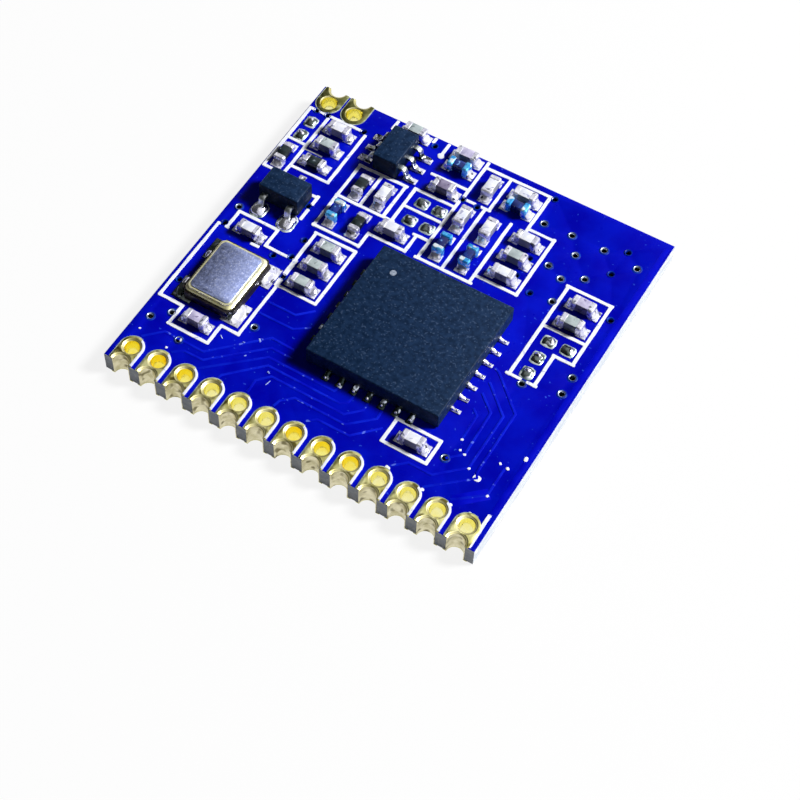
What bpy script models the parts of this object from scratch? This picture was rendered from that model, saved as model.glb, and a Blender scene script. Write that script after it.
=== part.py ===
"""A radio transceiver module the size of a postage stamp, made to be soldered flat on a host board.

A blue circuit board carries a row of gold castellated pads along its front edge and two antenna
pads at the left end of its back edge. A square transceiver chip, a crystal, an antenna switch, a
transistor and small chip parts are soldered on its top face.

+X runs along the castellated edge, +Y to the antenna edge, +Z up. The origin is the middle of the
module at the level of the lower lands, which is where the module rests.
"""

import math

import bmesh
import bpy
from mathutils import Matrix, Vector

MM = 0.001

# Clearance between a piece and what carries it
SEAT_GAP = 0.01 * MM

# Circuit board
BOARD_WIDTH = 17.2 * MM
BOARD_DEPTH = 17.0 * MM
BOARD_THICKNESS = 1.0 * MM
LAND_THICKNESS = 0.04 * MM
VIA_DIAMETER = 0.3 * MM

# Castellated pads, with a plated hole behind a plated half hole in the board's edge
PAD_PITCH = 1.3 * MM
PAD_WIDTH = 1.06 * MM
PAD_ROW_MARGIN = 0.8 * MM
HOLE_DIAMETER = 0.72 * MM
HOLE_SETBACK = 0.85 * MM
EDGE_HOLE_DIAMETER = 0.74 * MM
PLATING = 0.035 * MM

# Antenna pads, whose edge holes are centred just outside the board's edge
ANTENNA_PAD_COUNT = 2
ANTENNA_PAD_WIDTH = 1.14 * MM
ANTENNA_CORNER_MARGIN = 0.68 * MM
ANTENNA_HOLE_SETBACK = 0.78 * MM
ANTENNA_EDGE_HOLE_OFFSET = 0.08 * MM
ANTENNA_VIA_SETBACK = 1.42 * MM

# Transceiver chip
TRANSCEIVER_SIZE = 6.12 * MM
TRANSCEIVER_HEIGHT = 0.85 * MM
TRANSCEIVER_PITCH = 0.65 * MM
TRANSCEIVER_CORNER_MARGIN = 1.05 * MM
TERMINAL_WIDTH = 0.3 * MM
TERMINAL_HEIGHT = 0.2 * MM
TERMINAL_LAND_REACH = 0.42 * MM
CORNER_MARK_DIAMETER = 0.3 * MM
CORNER_MARK_DEPTH = 0.05 * MM
CORNER_MARK_INSET = 1.06 * MM

# Moulded bodies
MOULD_DRAFT = 0.07 * MM
MOULD_EDGE = 0.03 * MM
BODY_STANDOFF = 0.06 * MM

# Transistor and antenna switch, which share one size of body
PACKAGE_LENGTH = 2.0 * MM
PACKAGE_WIDTH = 1.25 * MM
PACKAGE_HEIGHT = 0.95 * MM
LEAD_SPAN = 2.1 * MM
LEAD_THICKNESS = 0.12 * MM
LEAD_FOOT = 0.22 * MM
LEAD_LAND_REACH = 0.4 * MM
TRANSISTOR_LEAD_PITCH = 1.3 * MM
TRANSISTOR_LEAD_WIDTH = 0.35 * MM
SWITCH_LEAD_PITCH = 0.65 * MM
SWITCH_LEAD_WIDTH = 0.25 * MM

# Crystal
CRYSTAL_WIDTH = 2.5 * MM
CRYSTAL_LENGTH = 3.2 * MM
CRYSTAL_BASE_HEIGHT = 0.42 * MM
CRYSTAL_CORNER_NOTCH = 0.2 * MM
CRYSTAL_RING_INSET = 0.1 * MM
CRYSTAL_RING_WALL = 0.3 * MM
CRYSTAL_RING_HEIGHT = 0.12 * MM
CRYSTAL_LID_INSET = 0.09 * MM
CRYSTAL_LID_HEIGHT = 0.12 * MM
CRYSTAL_CORNER_RADIUS = 0.25 * MM
CRYSTAL_LAND_LENGTH = 1.15 * MM
CRYSTAL_LAND_WIDTH = 1.0 * MM
CRYSTAL_LAND_REACH = 0.4 * MM
CRYSTAL_LAND_OVERHANG = 0.12 * MM

# Chip resistors, capacitors and inductors
CHIP_LENGTH = 1.0 * MM
CHIP_WIDTH = 0.5 * MM
CAPACITOR_HEIGHT = 0.5 * MM
RESISTOR_HEIGHT = 0.35 * MM
INDUCTOR_HEIGHT = 0.52 * MM
CHIP_TERMINAL = 0.22 * MM
CHIP_TERMINAL_PROUD = 0.02 * MM
INDUCTOR_WAIST = 0.05 * MM
CHIP_LAND_LENGTH = 0.45 * MM
CHIP_LAND_WIDTH = 0.54 * MM
CHIP_LAND_REACH = 0.26 * MM
SOLDER_DOME_HEIGHT = 0.16 * MM

# Distance between the two lands of a place that carries no part
EMPTY_LAND_SPACING = 0.85 * MM

# Share of its land that a dome of solder covers
DOME_SPREAD = 0.9

# Spacing of chip parts that stand in a stack, in a close pair, or end to end
STACK_PITCH = 1.03 * MM
PAIR_PITCH = 0.69 * MM
COLUMN_PITCH = 1.7 * MM
NEIGHBOUR_PITCH = 1.12 * MM

# The layout is drawn on a grid of this many steps, which stretches with the board
GRID_COLUMNS = 172
GRID_ROWS = 170

# Segments of a full circle
HOLE_SEGMENTS = 16
VIA_SEGMENTS = 8
DOME_SEGMENTS = 10

# Part of a pitch by which a row may overrun its margins and still hold one more
FIT_TOLERANCE = 0.01

# Points closer than this are one point, and faces flatter than this to each other are one face
WELD = 0.001 * MM
FLAT_ANGLE = math.radians(0.1)

# Edges sharper than this stay sharp when a piece is shaded smooth
SHARP_ANGLE = math.radians(35)

# Levels, from the lower lands up
BOARD_UNDERSIDE = LAND_THICKNESS + SEAT_GAP
BOARD_TOP = BOARD_UNDERSIDE + BOARD_THICKNESS
SEAT = BOARD_TOP + SEAT_GAP

# Places in grid steps from the middle of the board
TRANSCEIVER_PLACE = (16.3, -14.5)
CRYSTAL_PLACE = (-63, -29)
SWITCH_PLACE = (-37.5, 64.5)
TRANSISTOR_PLACE = (-66.2, 21.3)
EMPTY_PLACES = (
    (-80, 59.4, True),
    (-10.9, 49.4, False),
    (-10.9, 38.8, False),
    (68.6, 14.5, False),
    (64.2, 0.9, True),
)
VIA_PLACES = (
    (34, 67), (47, 67.5), (62, 67.5), (78, 66), (53, 59), (70, 58), (62, 50), (46, 48.5), (53.5, 45),
    (46, 32), (56, 33), (80.5, 37), (80.5, 4), (80.5, -5), (64.7, -9), (56, -55), (-41, -42),
    (-74, -53.5), (-80.5, -59.7), (-81, -38), (-81.5, -3), (-81, 7.3), (-47.5, 6.5), (-47.5, -3.8),
    (-56, 23), (31.7, 81), (71, 71.7), (-26.7, 80), (-63.8, -63.5), (-45, -14.3), (-54.5, -7),
    (-1.7, 60.5), (5.5, 60), (37.5, 47.5), (37, 37),
)
ANTENNA_VIA_COLUMNS = (-81.4, -75.9, -57.3)

# Colour, roughness and metallic value of each finish
FINISHES = {
    "blue_mask": ((0.003, 0.006, 0.42), 0.35, 0.0),
    "gold_plate": ((0.62, 0.47, 0.16), 0.32, 1.0),
    "tinned_solder": ((0.72, 0.73, 0.78), 0.25, 1.0),
    "black_mould": ((0.012, 0.018, 0.03), 0.6, 0.0),
    "dark_ceramic": ((0.02, 0.018, 0.03), 0.5, 0.0),
    "nickel_lid": ((0.42, 0.42, 0.52), 0.35, 1.0),
    "resistor_black": ((0.015, 0.016, 0.02), 0.4, 0.0),
    "capacitor_ceramic": ((0.6, 0.58, 0.66), 0.45, 0.0),
    "inductor_blue": ((0.004, 0.05, 0.22), 0.3, 0.0),
}


def grid_place(column, row, level=SEAT):
    """The point at a grid place, on the given level."""
    return Vector((column * BOARD_WIDTH / GRID_COLUMNS, row * BOARD_DEPTH / GRID_ROWS, level))


def clear_scene():
    for thing in list(bpy.data.objects):
        bpy.data.objects.remove(thing, do_unlink=True)


def new_collection(name):
    collection = bpy.data.collections.new(name)
    bpy.context.scene.collection.children.link(collection)
    return collection


def finish(name):
    """The material of a finish, made when it is first asked for."""
    material = bpy.data.materials.get(name)
    if material is None:
        material = bpy.data.materials.new(name)
        material.use_nodes = True
        colour, roughness, metallic = FINISHES[name]
        shader = material.node_tree.nodes["Principled BSDF"]
        shader.inputs["Base Color"].default_value = (*colour, 1.0)
        shader.inputs["Roughness"].default_value = roughness
        shader.inputs["Metallic"].default_value = metallic
        material.diffuse_color = (*colour, 1.0)
    return material


def solid(name, shape, finish_name):
    """A hidden object that a Boolean cuts with, joins or starts from. It uses up the bmesh."""
    mesh = bpy.data.meshes.new(name)
    bmesh.ops.recalc_face_normals(shape, faces=shape.faces)
    shape.to_mesh(mesh)
    shape.free()
    mesh.materials.append(finish(finish_name))
    thing = bpy.data.objects.new(name, mesh)
    thing.hide_render = True
    thing.display_type = "WIRE"
    CUTTERS.objects.link(thing)
    return thing


def block(shape, size, centre):
    """Adds a box to a bmesh and returns its vertices."""
    made = bmesh.ops.create_cube(shape, size=1.0)["verts"]
    bmesh.ops.scale(shape, verts=made, vec=size)
    bmesh.ops.translate(shape, verts=made, vec=centre)
    return made


def rod(shape, radius, low, high, x, y, segments=HOLE_SEGMENTS):
    """Adds an upright cylinder between two levels to a bmesh, with flats towards X and Y."""
    turn = Matrix.Rotation(math.pi / segments, 4, "Z")
    middle = Matrix.Translation((x, y, (low + high) / 2))
    bmesh.ops.create_cone(
        shape,
        cap_ends=True,
        segments=segments,
        radius1=radius,
        radius2=radius,
        depth=high - low,
        matrix=middle @ turn,
    )


def prism(shape, outline, thickness, turn=Matrix()):
    """Adds a flat outline, drawn in X and Y about Z = 0, with its thickness along Z, then turned."""
    curve = bpy.data.curves.new("outline", "CURVE")
    curve.dimensions = "2D"
    curve.fill_mode = "BOTH"
    curve.extrude = thickness / 2 / MM
    spline = curve.splines.new("POLY")
    spline.points.add(len(outline) - 1)
    for point, (x, y) in zip(spline.points, outline):
        point.co = (x / MM, y / MM, 0.0, 1.0)
    spline.use_cyclic_u = True
    drawn = bpy.data.objects.new("outline", curve)
    CUTTERS.objects.link(drawn)
    graph = bpy.context.evaluated_depsgraph_get()
    mesh = bpy.data.meshes.new_from_object(drawn.evaluated_get(graph))
    bpy.data.objects.remove(drawn, do_unlink=True)
    mesh.transform(turn @ Matrix.Scale(MM, 4))
    part = bmesh.new()
    part.from_mesh(mesh)
    bmesh.ops.remove_doubles(part, verts=part.verts, dist=WELD)
    bmesh.ops.dissolve_limit(part, angle_limit=FLAT_ANGLE, verts=part.verts, edges=part.edges)
    welded = bpy.data.meshes.new("outline")
    part.to_mesh(welded)
    part.free()
    shape.from_mesh(welded)
    bpy.data.meshes.remove(mesh)
    bpy.data.meshes.remove(welded)


def boolean(target, other, operation):
    modifier = target.modifiers.new(f"{operation.lower()} {other.name}", "BOOLEAN")
    modifier.object = other
    modifier.operation = operation
    modifier.solver = "EXACT"
    modifier.material_mode = "TRANSFER"


def combine(name, base, *steps):
    """One mesh made from a base by joining and cutting solids, in order."""
    for operation, other in steps:
        boolean(base, other, operation)
    graph = bpy.context.evaluated_depsgraph_get()
    mesh = bpy.data.meshes.new_from_object(base.evaluated_get(graph))
    mesh.name = name
    mesh.shade_smooth()
    mesh.set_sharp_from_angle(angle=SHARP_ANGLE)
    return mesh


def place(name, mesh, location=(0.0, 0.0, 0.0), turn=0.0):
    """A finished piece of the module."""
    piece = bpy.data.objects.new(name, mesh)
    piece.location = location
    piece.rotation_euler = (0.0, 0.0, turn)
    PARTS.objects.link(piece)
    return piece


def arc(centre, radius, start, end, steps):
    """Points along an arc, from one angle to another in degrees."""
    angles = (math.radians(start + (end - start) * step / steps) for step in range(steps + 1))
    return [(centre[0] + radius * math.cos(a), centre[1] + radius * math.sin(a)) for a in angles]


def rounded_rectangle(width, length, radius, steps=4):
    """The outline of a rectangle with rounded corners, about the origin."""
    across, along = width / 2 - radius, length / 2 - radius
    corners = ((across, along, 0), (-across, along, 90), (-across, -along, 180), (across, -along, 270))
    points = []
    for x, y, start in corners:
        points += arc((x, y), radius, start, start + 90, steps)
    return points


def solder_fillet(foot, top, reach, land_end):
    """The side outline of solder between an upright face at X = 0 and the end of its land.

    It starts inside the face, at a depth of foot, and curves down from a height of top.
    """
    curve = [
        (reach * (1 - math.cos(a)), LAND_THICKNESS + (top - LAND_THICKNESS) * (1 - math.sin(a)))
        for a in (math.radians(step * 22.5) for step in range(5))
    ]
    return [(-foot, 0.0), (land_end, 0.0), (land_end, LAND_THICKNESS), *reversed(curve), (-foot, top)]


def upright(angle):
    """Turns an outline drawn in X and Y to stand in X and Z, then about Z by an angle."""
    return Matrix.Rotation(angle, 4, "Z") @ Matrix.Rotation(math.pi / 2, 4, "X")


def row_centres(length, margin, pitch):
    """Places along a side: as many as fit between its margins, centred on it."""
    steps = int((length - 2 * margin) / pitch + FIT_TOLERANCE)
    return [(index - steps / 2) * pitch for index in range(steps + 1)]


def pad_centres():
    """The X of each castellated pad."""
    return row_centres(BOARD_WIDTH, PAD_ROW_MARGIN, PAD_PITCH)


def antenna_centres():
    """The X of each antenna pad, from the back left corner."""
    first = -BOARD_WIDTH / 2 + ANTENNA_CORNER_MARGIN
    return [first + index * PAD_PITCH for index in range(ANTENNA_PAD_COUNT)]


def pad_mesh(name, width, setback, offset=0.0):
    """A plated pad about its own hole, whose edge of the board lies towards -Y.

    Its edge hole is centred outside the edge by the offset.
    """
    edge = -setback
    low, high = LAND_THICKNESS / 2, BOARD_TOP + SEAT_GAP + LAND_THICKNESS / 2
    overlong = edge - PLATING
    outline = [(-width / 2, overlong), (width / 2, overlong)]
    outline += arc((0.0, 0.0), width / 2, 0, 180, HOLE_SEGMENTS // 2)
    lower, upper = bmesh.new(), bmesh.new()
    prism(lower, outline, LAND_THICKNESS, Matrix.Translation((0, 0, LAND_THICKNESS / 2)))
    prism(upper, outline, LAND_THICKNESS, Matrix.Translation((0, 0, high)))
    barrels = bmesh.new()
    rod(barrels, HOLE_DIAMETER / 2 + PLATING, low, high, 0, 0)
    rod(barrels, EDGE_HOLE_DIAMETER / 2 + PLATING, low, high, 0, edge - offset)
    bores, beyond = bmesh.new(), bmesh.new()
    rod(bores, HOLE_DIAMETER / 2, -BOARD_THICKNESS, 2 * high, 0, 0)
    rod(bores, EDGE_HOLE_DIAMETER / 2, -BOARD_THICKNESS, 2 * high, 0, edge - offset)
    block(beyond, (2 * width, width, 4 * high), (0, edge - width / 2, high))
    return combine(
        name,
        solid("barrels", barrels, "gold_plate"),
        ("UNION", solid("lower land", lower, "gold_plate")),
        ("UNION", solid("upper land", upper, "gold_plate")),
        ("DIFFERENCE", solid("beyond the edge", beyond, "gold_plate")),
        ("DIFFERENCE", solid("bores", bores, "gold_plate")),
    )


def build_pads():
    front = -BOARD_DEPTH / 2 + HOLE_SETBACK
    mesh = pad_mesh("castellated pad", PAD_WIDTH, HOLE_SETBACK)
    for number, x in enumerate(pad_centres(), 1):
        place(f"castellated_pad_{number:02d}", mesh, (x, front, 0))
    back = BOARD_DEPTH / 2 - ANTENNA_HOLE_SETBACK
    mesh = pad_mesh("antenna pad", ANTENNA_PAD_WIDTH, ANTENNA_HOLE_SETBACK, ANTENNA_EDGE_HOLE_OFFSET)
    for number, x in enumerate(antenna_centres(), 1):
        place(f"antenna_pad_{number}", mesh, (x, back, 0), math.pi)


def empty_lands():
    """The two tinned lands of each empty place, and the domes of solder on them."""
    lands, domes = bmesh.new(), bmesh.new()
    for column, row, turned in EMPTY_PLACES:
        for side in (-1, 1):
            centre = grid_place(column, row, BOARD_TOP)
            centre[1 if turned else 0] += side * EMPTY_LAND_SPACING / 2
            size = [CHIP_LAND_LENGTH, CHIP_LAND_WIDTH, 2 * LAND_THICKNESS]
            if turned:
                size[:2] = size[1::-1]
            block(lands, size, centre)
            dome = bmesh.ops.create_uvsphere(
                domes, u_segments=DOME_SEGMENTS, v_segments=DOME_SEGMENTS // 2, radius=0.5
            )["verts"]
            dome_size = (DOME_SPREAD * size[0], DOME_SPREAD * size[1], 2 * SOLDER_DOME_HEIGHT)
            bmesh.ops.scale(domes, verts=dome, vec=dome_size)
            bmesh.ops.translate(domes, verts=dome, vec=centre)
    return solid("empty lands", lands, "tinned_solder"), solid("solder domes", domes, "tinned_solder")


def build_board():
    low, high = BOARD_UNDERSIDE, BOARD_TOP
    board = bmesh.new()
    block(board, (BOARD_WIDTH, BOARD_DEPTH, BOARD_THICKNESS), (0, 0, (low + high) / 2))
    cuts = bmesh.new()
    hole = HOLE_DIAMETER / 2 + PLATING + SEAT_GAP
    notch = EDGE_HOLE_DIAMETER / 2 + PLATING + SEAT_GAP
    through = (low - BOARD_THICKNESS, high + BOARD_THICKNESS)
    front, back = -BOARD_DEPTH / 2, BOARD_DEPTH / 2
    for x in pad_centres():
        rod(cuts, hole, *through, x, front + HOLE_SETBACK)
        rod(cuts, notch, *through, x, front)
    for x in antenna_centres():
        rod(cuts, hole, *through, x, back - ANTENNA_HOLE_SETBACK)
        rod(cuts, notch, *through, x, back + ANTENNA_EDGE_HOLE_OFFSET)
    for column, row in VIA_PLACES:
        centre = grid_place(column, row)
        rod(cuts, VIA_DIAMETER / 2, *through, centre.x, centre.y, VIA_SEGMENTS)
    for column in ANTENNA_VIA_COLUMNS:
        x = grid_place(column, 0).x
        rod(cuts, VIA_DIAMETER / 2, *through, x, back - ANTENNA_VIA_SETBACK, VIA_SEGMENTS)
    lands, domes = empty_lands()
    mesh = combine(
        "circuit board",
        solid("laminate", board, "blue_mask"),
        ("DIFFERENCE", solid("drilling", cuts, "blue_mask")),
        ("UNION", lands),
        ("UNION", domes),
    )
    place("circuit_board", mesh)


def moulded_body(width, length, low, high, parting):
    """A moulded body whose top and bottom taper in from the parting level, with softened edges."""
    body = bmesh.new()
    block(body, (width, length, high - low), (0, 0, (low + high) / 2))
    everything = body.verts[:] + body.edges[:] + body.faces[:]
    bmesh.ops.bisect_plane(
        body, geom=everything, dist=WELD, plane_co=(0, 0, parting), plane_no=(0, 0, 1)
    )
    for vert in body.verts:
        if abs(vert.co.z - parting) > SEAT_GAP:
            draft = MOULD_DRAFT * abs(vert.co.z - parting) / (high - parting)
            vert.co.x -= math.copysign(draft, vert.co.x)
            vert.co.y -= math.copysign(draft, vert.co.y)
    top_edges = [edge for edge in body.edges if all(v.co.z > high - SEAT_GAP for v in edge.verts)]
    bmesh.ops.bevel(
        body, geom=top_edges, offset=MOULD_EDGE, affect="EDGES", segments=1, profile=0.5, material=-1
    )
    return solid("moulded body", body, "black_mould")


def build_transceiver():
    half = TRANSCEIVER_SIZE / 2
    low = BODY_STANDOFF
    parting = TERMINAL_HEIGHT + MOULD_EDGE
    body = moulded_body(TRANSCEIVER_SIZE, TRANSCEIVER_SIZE, low, low + TRANSCEIVER_HEIGHT, parting)
    outline = solder_fillet(
        2 * TERMINAL_HEIGHT, TERMINAL_HEIGHT, 0.8 * TERMINAL_LAND_REACH, TERMINAL_LAND_REACH
    )
    terminals = bmesh.new()
    for side in range(4):
        turn = upright(side * math.pi / 2)
        for along in row_centres(TRANSCEIVER_SIZE, TRANSCEIVER_CORNER_MARGIN, TRANSCEIVER_PITCH):
            shift = Matrix.Translation((half - SEAT_GAP, 0, along))
            prism(terminals, outline, TERMINAL_WIDTH, turn @ shift)
    mark = bmesh.new()
    mark_low = low + TRANSCEIVER_HEIGHT - CORNER_MARK_DEPTH
    corner = half - CORNER_MARK_INSET
    rod(mark, CORNER_MARK_DIAMETER / 2, mark_low, 2 * TRANSCEIVER_HEIGHT, -corner, corner)
    mesh = combine(
        "transceiver chip",
        body,
        ("DIFFERENCE", solid("corner mark", mark, "black_mould")),
        ("UNION", solid("terminals", terminals, "tinned_solder")),
    )
    place("transceiver_chip", mesh, grid_place(*TRANSCEIVER_PLACE))


def lead_outline():
    """The side outline of a bent lead, from inside the body at X = 0 out to its toe.

    Its foot stands on the land, and solder fills the land beyond the toe.
    """
    toe = (LEAD_SPAN - PACKAGE_WIDTH) / 2
    knee = toe - LEAD_FOOT
    root = -PACKAGE_WIDTH / 6
    exit_low = BODY_STANDOFF + PACKAGE_HEIGHT / 2 - LEAD_THICKNESS / 2
    exit_high = exit_low + LEAD_THICKNESS
    foot_top = LAND_THICKNESS + LEAD_THICKNESS
    return [
        (root, exit_low),
        (knee * 0.3, exit_low),
        (knee - LEAD_THICKNESS * 0.6, 0.0),
        (toe + LEAD_LAND_REACH, 0.0),
        (toe + LEAD_LAND_REACH, LAND_THICKNESS),
        (toe + LEAD_LAND_REACH * 0.4, foot_top * 0.75),
        (toe, foot_top),
        (knee + LEAD_THICKNESS * 0.4, foot_top),
        (knee * 0.3 + LEAD_THICKNESS * 0.6, exit_high),
        (root, exit_high),
    ]


def leaded_package(name, lead_pitch, lead_width, front_leads, back_leads):
    """A moulded body, longest along X, with bent leads along its front and back sides."""
    low = BODY_STANDOFF
    middle = low + PACKAGE_HEIGHT / 2
    body = moulded_body(PACKAGE_LENGTH, PACKAGE_WIDTH, low, low + PACKAGE_HEIGHT, middle)
    leads = bmesh.new()
    for angle, count in ((-math.pi / 2, front_leads), (math.pi / 2, back_leads)):
        for index in range(count):
            along = (index - (count - 1) / 2) * lead_pitch
            shift = Matrix.Translation((PACKAGE_WIDTH / 2, 0, along))
            prism(leads, lead_outline(), lead_width, upright(angle) @ shift)
    return combine(name, body, ("UNION", solid("leads", leads, "tinned_solder")))


def build_leaded_packages():
    transistor = leaded_package("transistor", TRANSISTOR_LEAD_PITCH, TRANSISTOR_LEAD_WIDTH, 2, 1)
    place("transistor", transistor, grid_place(*TRANSISTOR_PLACE))
    switch = leaded_package("antenna switch", SWITCH_LEAD_PITCH, SWITCH_LEAD_WIDTH, 3, 3)
    place("antenna_switch", switch, grid_place(*SWITCH_PLACE), math.pi / 2)


def crystal_base():
    """A ceramic base with a quarter round notch at each corner, on four soldered lands."""
    low, high = BODY_STANDOFF, BODY_STANDOFF + CRYSTAL_BASE_HEIGHT
    base, notches, lands = bmesh.new(), bmesh.new(), bmesh.new()
    block(base, (CRYSTAL_WIDTH, CRYSTAL_LENGTH, high - low), (0, 0, (low + high) / 2))
    fillet = solder_fillet(
        CRYSTAL_LAND_WIDTH - CRYSTAL_LAND_REACH, high / 2, 0.9 * CRYSTAL_LAND_REACH, CRYSTAL_LAND_REACH
    )
    along = CRYSTAL_LENGTH / 2 - CRYSTAL_LAND_LENGTH / 2 + CRYSTAL_LAND_OVERHANG
    for side in (-1, 1):
        turn = upright(0.0 if side > 0 else math.pi)
        for end in (-1, 1):
            corner = (side * CRYSTAL_WIDTH / 2, end * CRYSTAL_LENGTH / 2)
            rod(notches, CRYSTAL_CORNER_NOTCH, low - high, 2 * high, *corner)
            shift = Matrix.Translation((CRYSTAL_WIDTH / 2 - SEAT_GAP, 0, end * along))
            prism(lands, fillet, CRYSTAL_LAND_LENGTH, turn @ shift)
    return combine(
        "crystal base",
        solid("ceramic", base, "dark_ceramic"),
        ("DIFFERENCE", solid("notches", notches, "dark_ceramic")),
        ("UNION", solid("crystal lands", lands, "tinned_solder")),
    )


def build_crystal():
    place("crystal_base", crystal_base(), grid_place(*CRYSTAL_PLACE))
    ring_width = CRYSTAL_WIDTH - 2 * CRYSTAL_RING_INSET
    ring_length = CRYSTAL_LENGTH - 2 * CRYSTAL_RING_INSET
    ring_low = BODY_STANDOFF + CRYSTAL_BASE_HEIGHT + SEAT_GAP
    ring, window, lid = bmesh.new(), bmesh.new(), bmesh.new()
    prism(
        ring,
        rounded_rectangle(ring_width, ring_length, CRYSTAL_CORNER_RADIUS),
        CRYSTAL_RING_HEIGHT,
        Matrix.Translation((0, 0, ring_low + CRYSTAL_RING_HEIGHT / 2)),
    )
    opening = (ring_width - 2 * CRYSTAL_RING_WALL, ring_length - 2 * CRYSTAL_RING_WALL)
    block(window, (*opening, 4 * CRYSTAL_RING_HEIGHT), (0, 0, ring_low))
    ring_mesh = combine(
        "crystal seal ring",
        solid("ring", ring, "gold_plate"),
        ("DIFFERENCE", solid("window", window, "gold_plate")),
    )
    place("crystal_seal_ring", ring_mesh, grid_place(*CRYSTAL_PLACE))
    lid_low = ring_low + CRYSTAL_RING_HEIGHT + SEAT_GAP
    prism(
        lid,
        rounded_rectangle(
            ring_width - 2 * CRYSTAL_LID_INSET, ring_length - 2 * CRYSTAL_LID_INSET, CRYSTAL_CORNER_RADIUS
        ),
        CRYSTAL_LID_HEIGHT,
        Matrix.Translation((0, 0, lid_low + CRYSTAL_LID_HEIGHT / 2)),
    )
    lid_mesh = combine("crystal lid", solid("lid", lid, "nickel_lid"))
    place("crystal_lid", lid_mesh, grid_place(*CRYSTAL_PLACE))


def chip_part(name, height, body_finish, waist=CHIP_TERMINAL_PROUD):
    """A chip part along X on its two lands: a body between two terminals, each with its solder.

    The body is narrower and lower than the terminals by the waist.
    """
    low = LAND_THICKNESS + CHIP_TERMINAL_PROUD
    body, terminals, lands = bmesh.new(), bmesh.new(), bmesh.new()
    body_size = (CHIP_LENGTH - CHIP_TERMINAL, CHIP_WIDTH - 2 * waist, height - waist - low + LAND_THICKNESS)
    block(body, body_size, (0, 0, low + body_size[2] / 2))
    fillet = solder_fillet(
        CHIP_LAND_LENGTH - CHIP_LAND_REACH, 0.7 * height, 0.9 * CHIP_LAND_REACH, CHIP_LAND_REACH
    )
    for side in (-1, 1):
        centre = (side * (CHIP_LENGTH - CHIP_TERMINAL) / 2, 0, LAND_THICKNESS + height / 2)
        block(terminals, (CHIP_TERMINAL, CHIP_WIDTH, height), centre)
        turn = upright(0.0 if side > 0 else math.pi)
        shift = Matrix.Translation((CHIP_LENGTH / 2 - SEAT_GAP, 0, 0))
        prism(lands, fillet, CHIP_LAND_WIDTH, turn @ shift)
    return combine(
        name,
        solid("chip body", body, body_finish),
        ("UNION", solid("terminals", terminals, "tinned_solder")),
        ("UNION", solid("lands", lands, "tinned_solder")),
    )


def chip_rows():
    """Every chip part on the board, as its kind, its place, and whether it is turned along Y."""
    parts = []

    def row(kinds, column, row_, pitch, turned=False, sideways=False):
        """Parts centred on a place, from back to front, or from left to right if sideways."""
        for index, kind in enumerate(kinds):
            place_ = grid_place(column, row_)
            step = (index - (len(kinds) - 1) / 2) * pitch
            place_.x += step if sideways else 0.0
            place_.y -= 0.0 if sideways else step
            parts.append((kind, place_, turned))

    stack = ("capacitor", "capacitor", "capacitor")
    row(("capacitor", "capacitor", "resistor"), -65.7, 53.7, STACK_PITCH)
    row(stack, -35.2, -4.5, STACK_PITCH)
    row(stack, 32.8, 43.2, STACK_PITCH)
    row(("capacitor", "capacitor"), 68.6, 30.5, STACK_PITCH)
    row(("capacitor", "inductor"), -11, 76.8, PAIR_PITCH)
    row(("capacitor", "inductor"), 21, 70.3, PAIR_PITCH)
    row(("capacitor", "inductor"), 3.8, 41.6, COLUMN_PITCH, turned=True)
    row(("capacitor", "inductor"), 16.3, 41.6, COLUMN_PITCH, turned=True)
    row(("resistor", "capacitor"), -36.2, 43.2, NEIGHBOUR_PITCH, turned=True, sideways=True)
    row(("inductor", "resistor"), -37.8, 24.8, NEIGHBOUR_PITCH, turned=True, sideways=True)
    row(("capacitor",), -36.8, 80.6, STACK_PITCH)
    row(("capacitor",), -10.8, 59.9, STACK_PITCH)
    row(("capacitor",), -18.1, 28.9, STACK_PITCH)
    row(("capacitor",), -69.1, -2.6, STACK_PITCH)
    row(("capacitor",), -62.3, -52.9, STACK_PITCH)
    row(("capacitor",), 42.2, -56.2, STACK_PITCH)
    row(("capacitor",), 6.2, 70.5, STACK_PITCH, turned=True)
    row(("resistor",), -79.8, 41.3, STACK_PITCH, turned=True)
    return parts


def build_chip_parts():
    meshes = {
        "capacitor": chip_part("capacitor", CAPACITOR_HEIGHT, "capacitor_ceramic"),
        "resistor": chip_part("resistor", RESISTOR_HEIGHT, "resistor_black"),
        "inductor": chip_part("inductor", INDUCTOR_HEIGHT, "inductor_blue", INDUCTOR_WAIST),
    }
    counts = dict.fromkeys(meshes, 0)
    for kind, location, turned in chip_rows():
        counts[kind] += 1
        number = f"{counts[kind]:02d}" if kind == "capacitor" else str(counts[kind])
        place(f"{kind}_{number}", meshes[kind], location, math.pi / 2 if turned else 0.0)


clear_scene()
PARTS = new_collection("radio transceiver module")
CUTTERS = new_collection("cutters and joined shapes")
build_board()
build_pads()
build_transceiver()
build_leaded_packages()
build_crystal()
build_chip_parts()
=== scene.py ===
"""Looks of a small radio transceiver board, in soft studio light.

Lengths are in millimetres until a piece is finished, which turns its mesh into metres.
"""
import logging
import math
from collections.abc import Iterable, Sequence
from dataclasses import dataclass, field, replace
from enum import Enum

import bmesh
import bpy
from bmesh.types import BMEdge, BMesh, BMFace, BMVert
from mathutils import Matrix, Vector, noise


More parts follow.
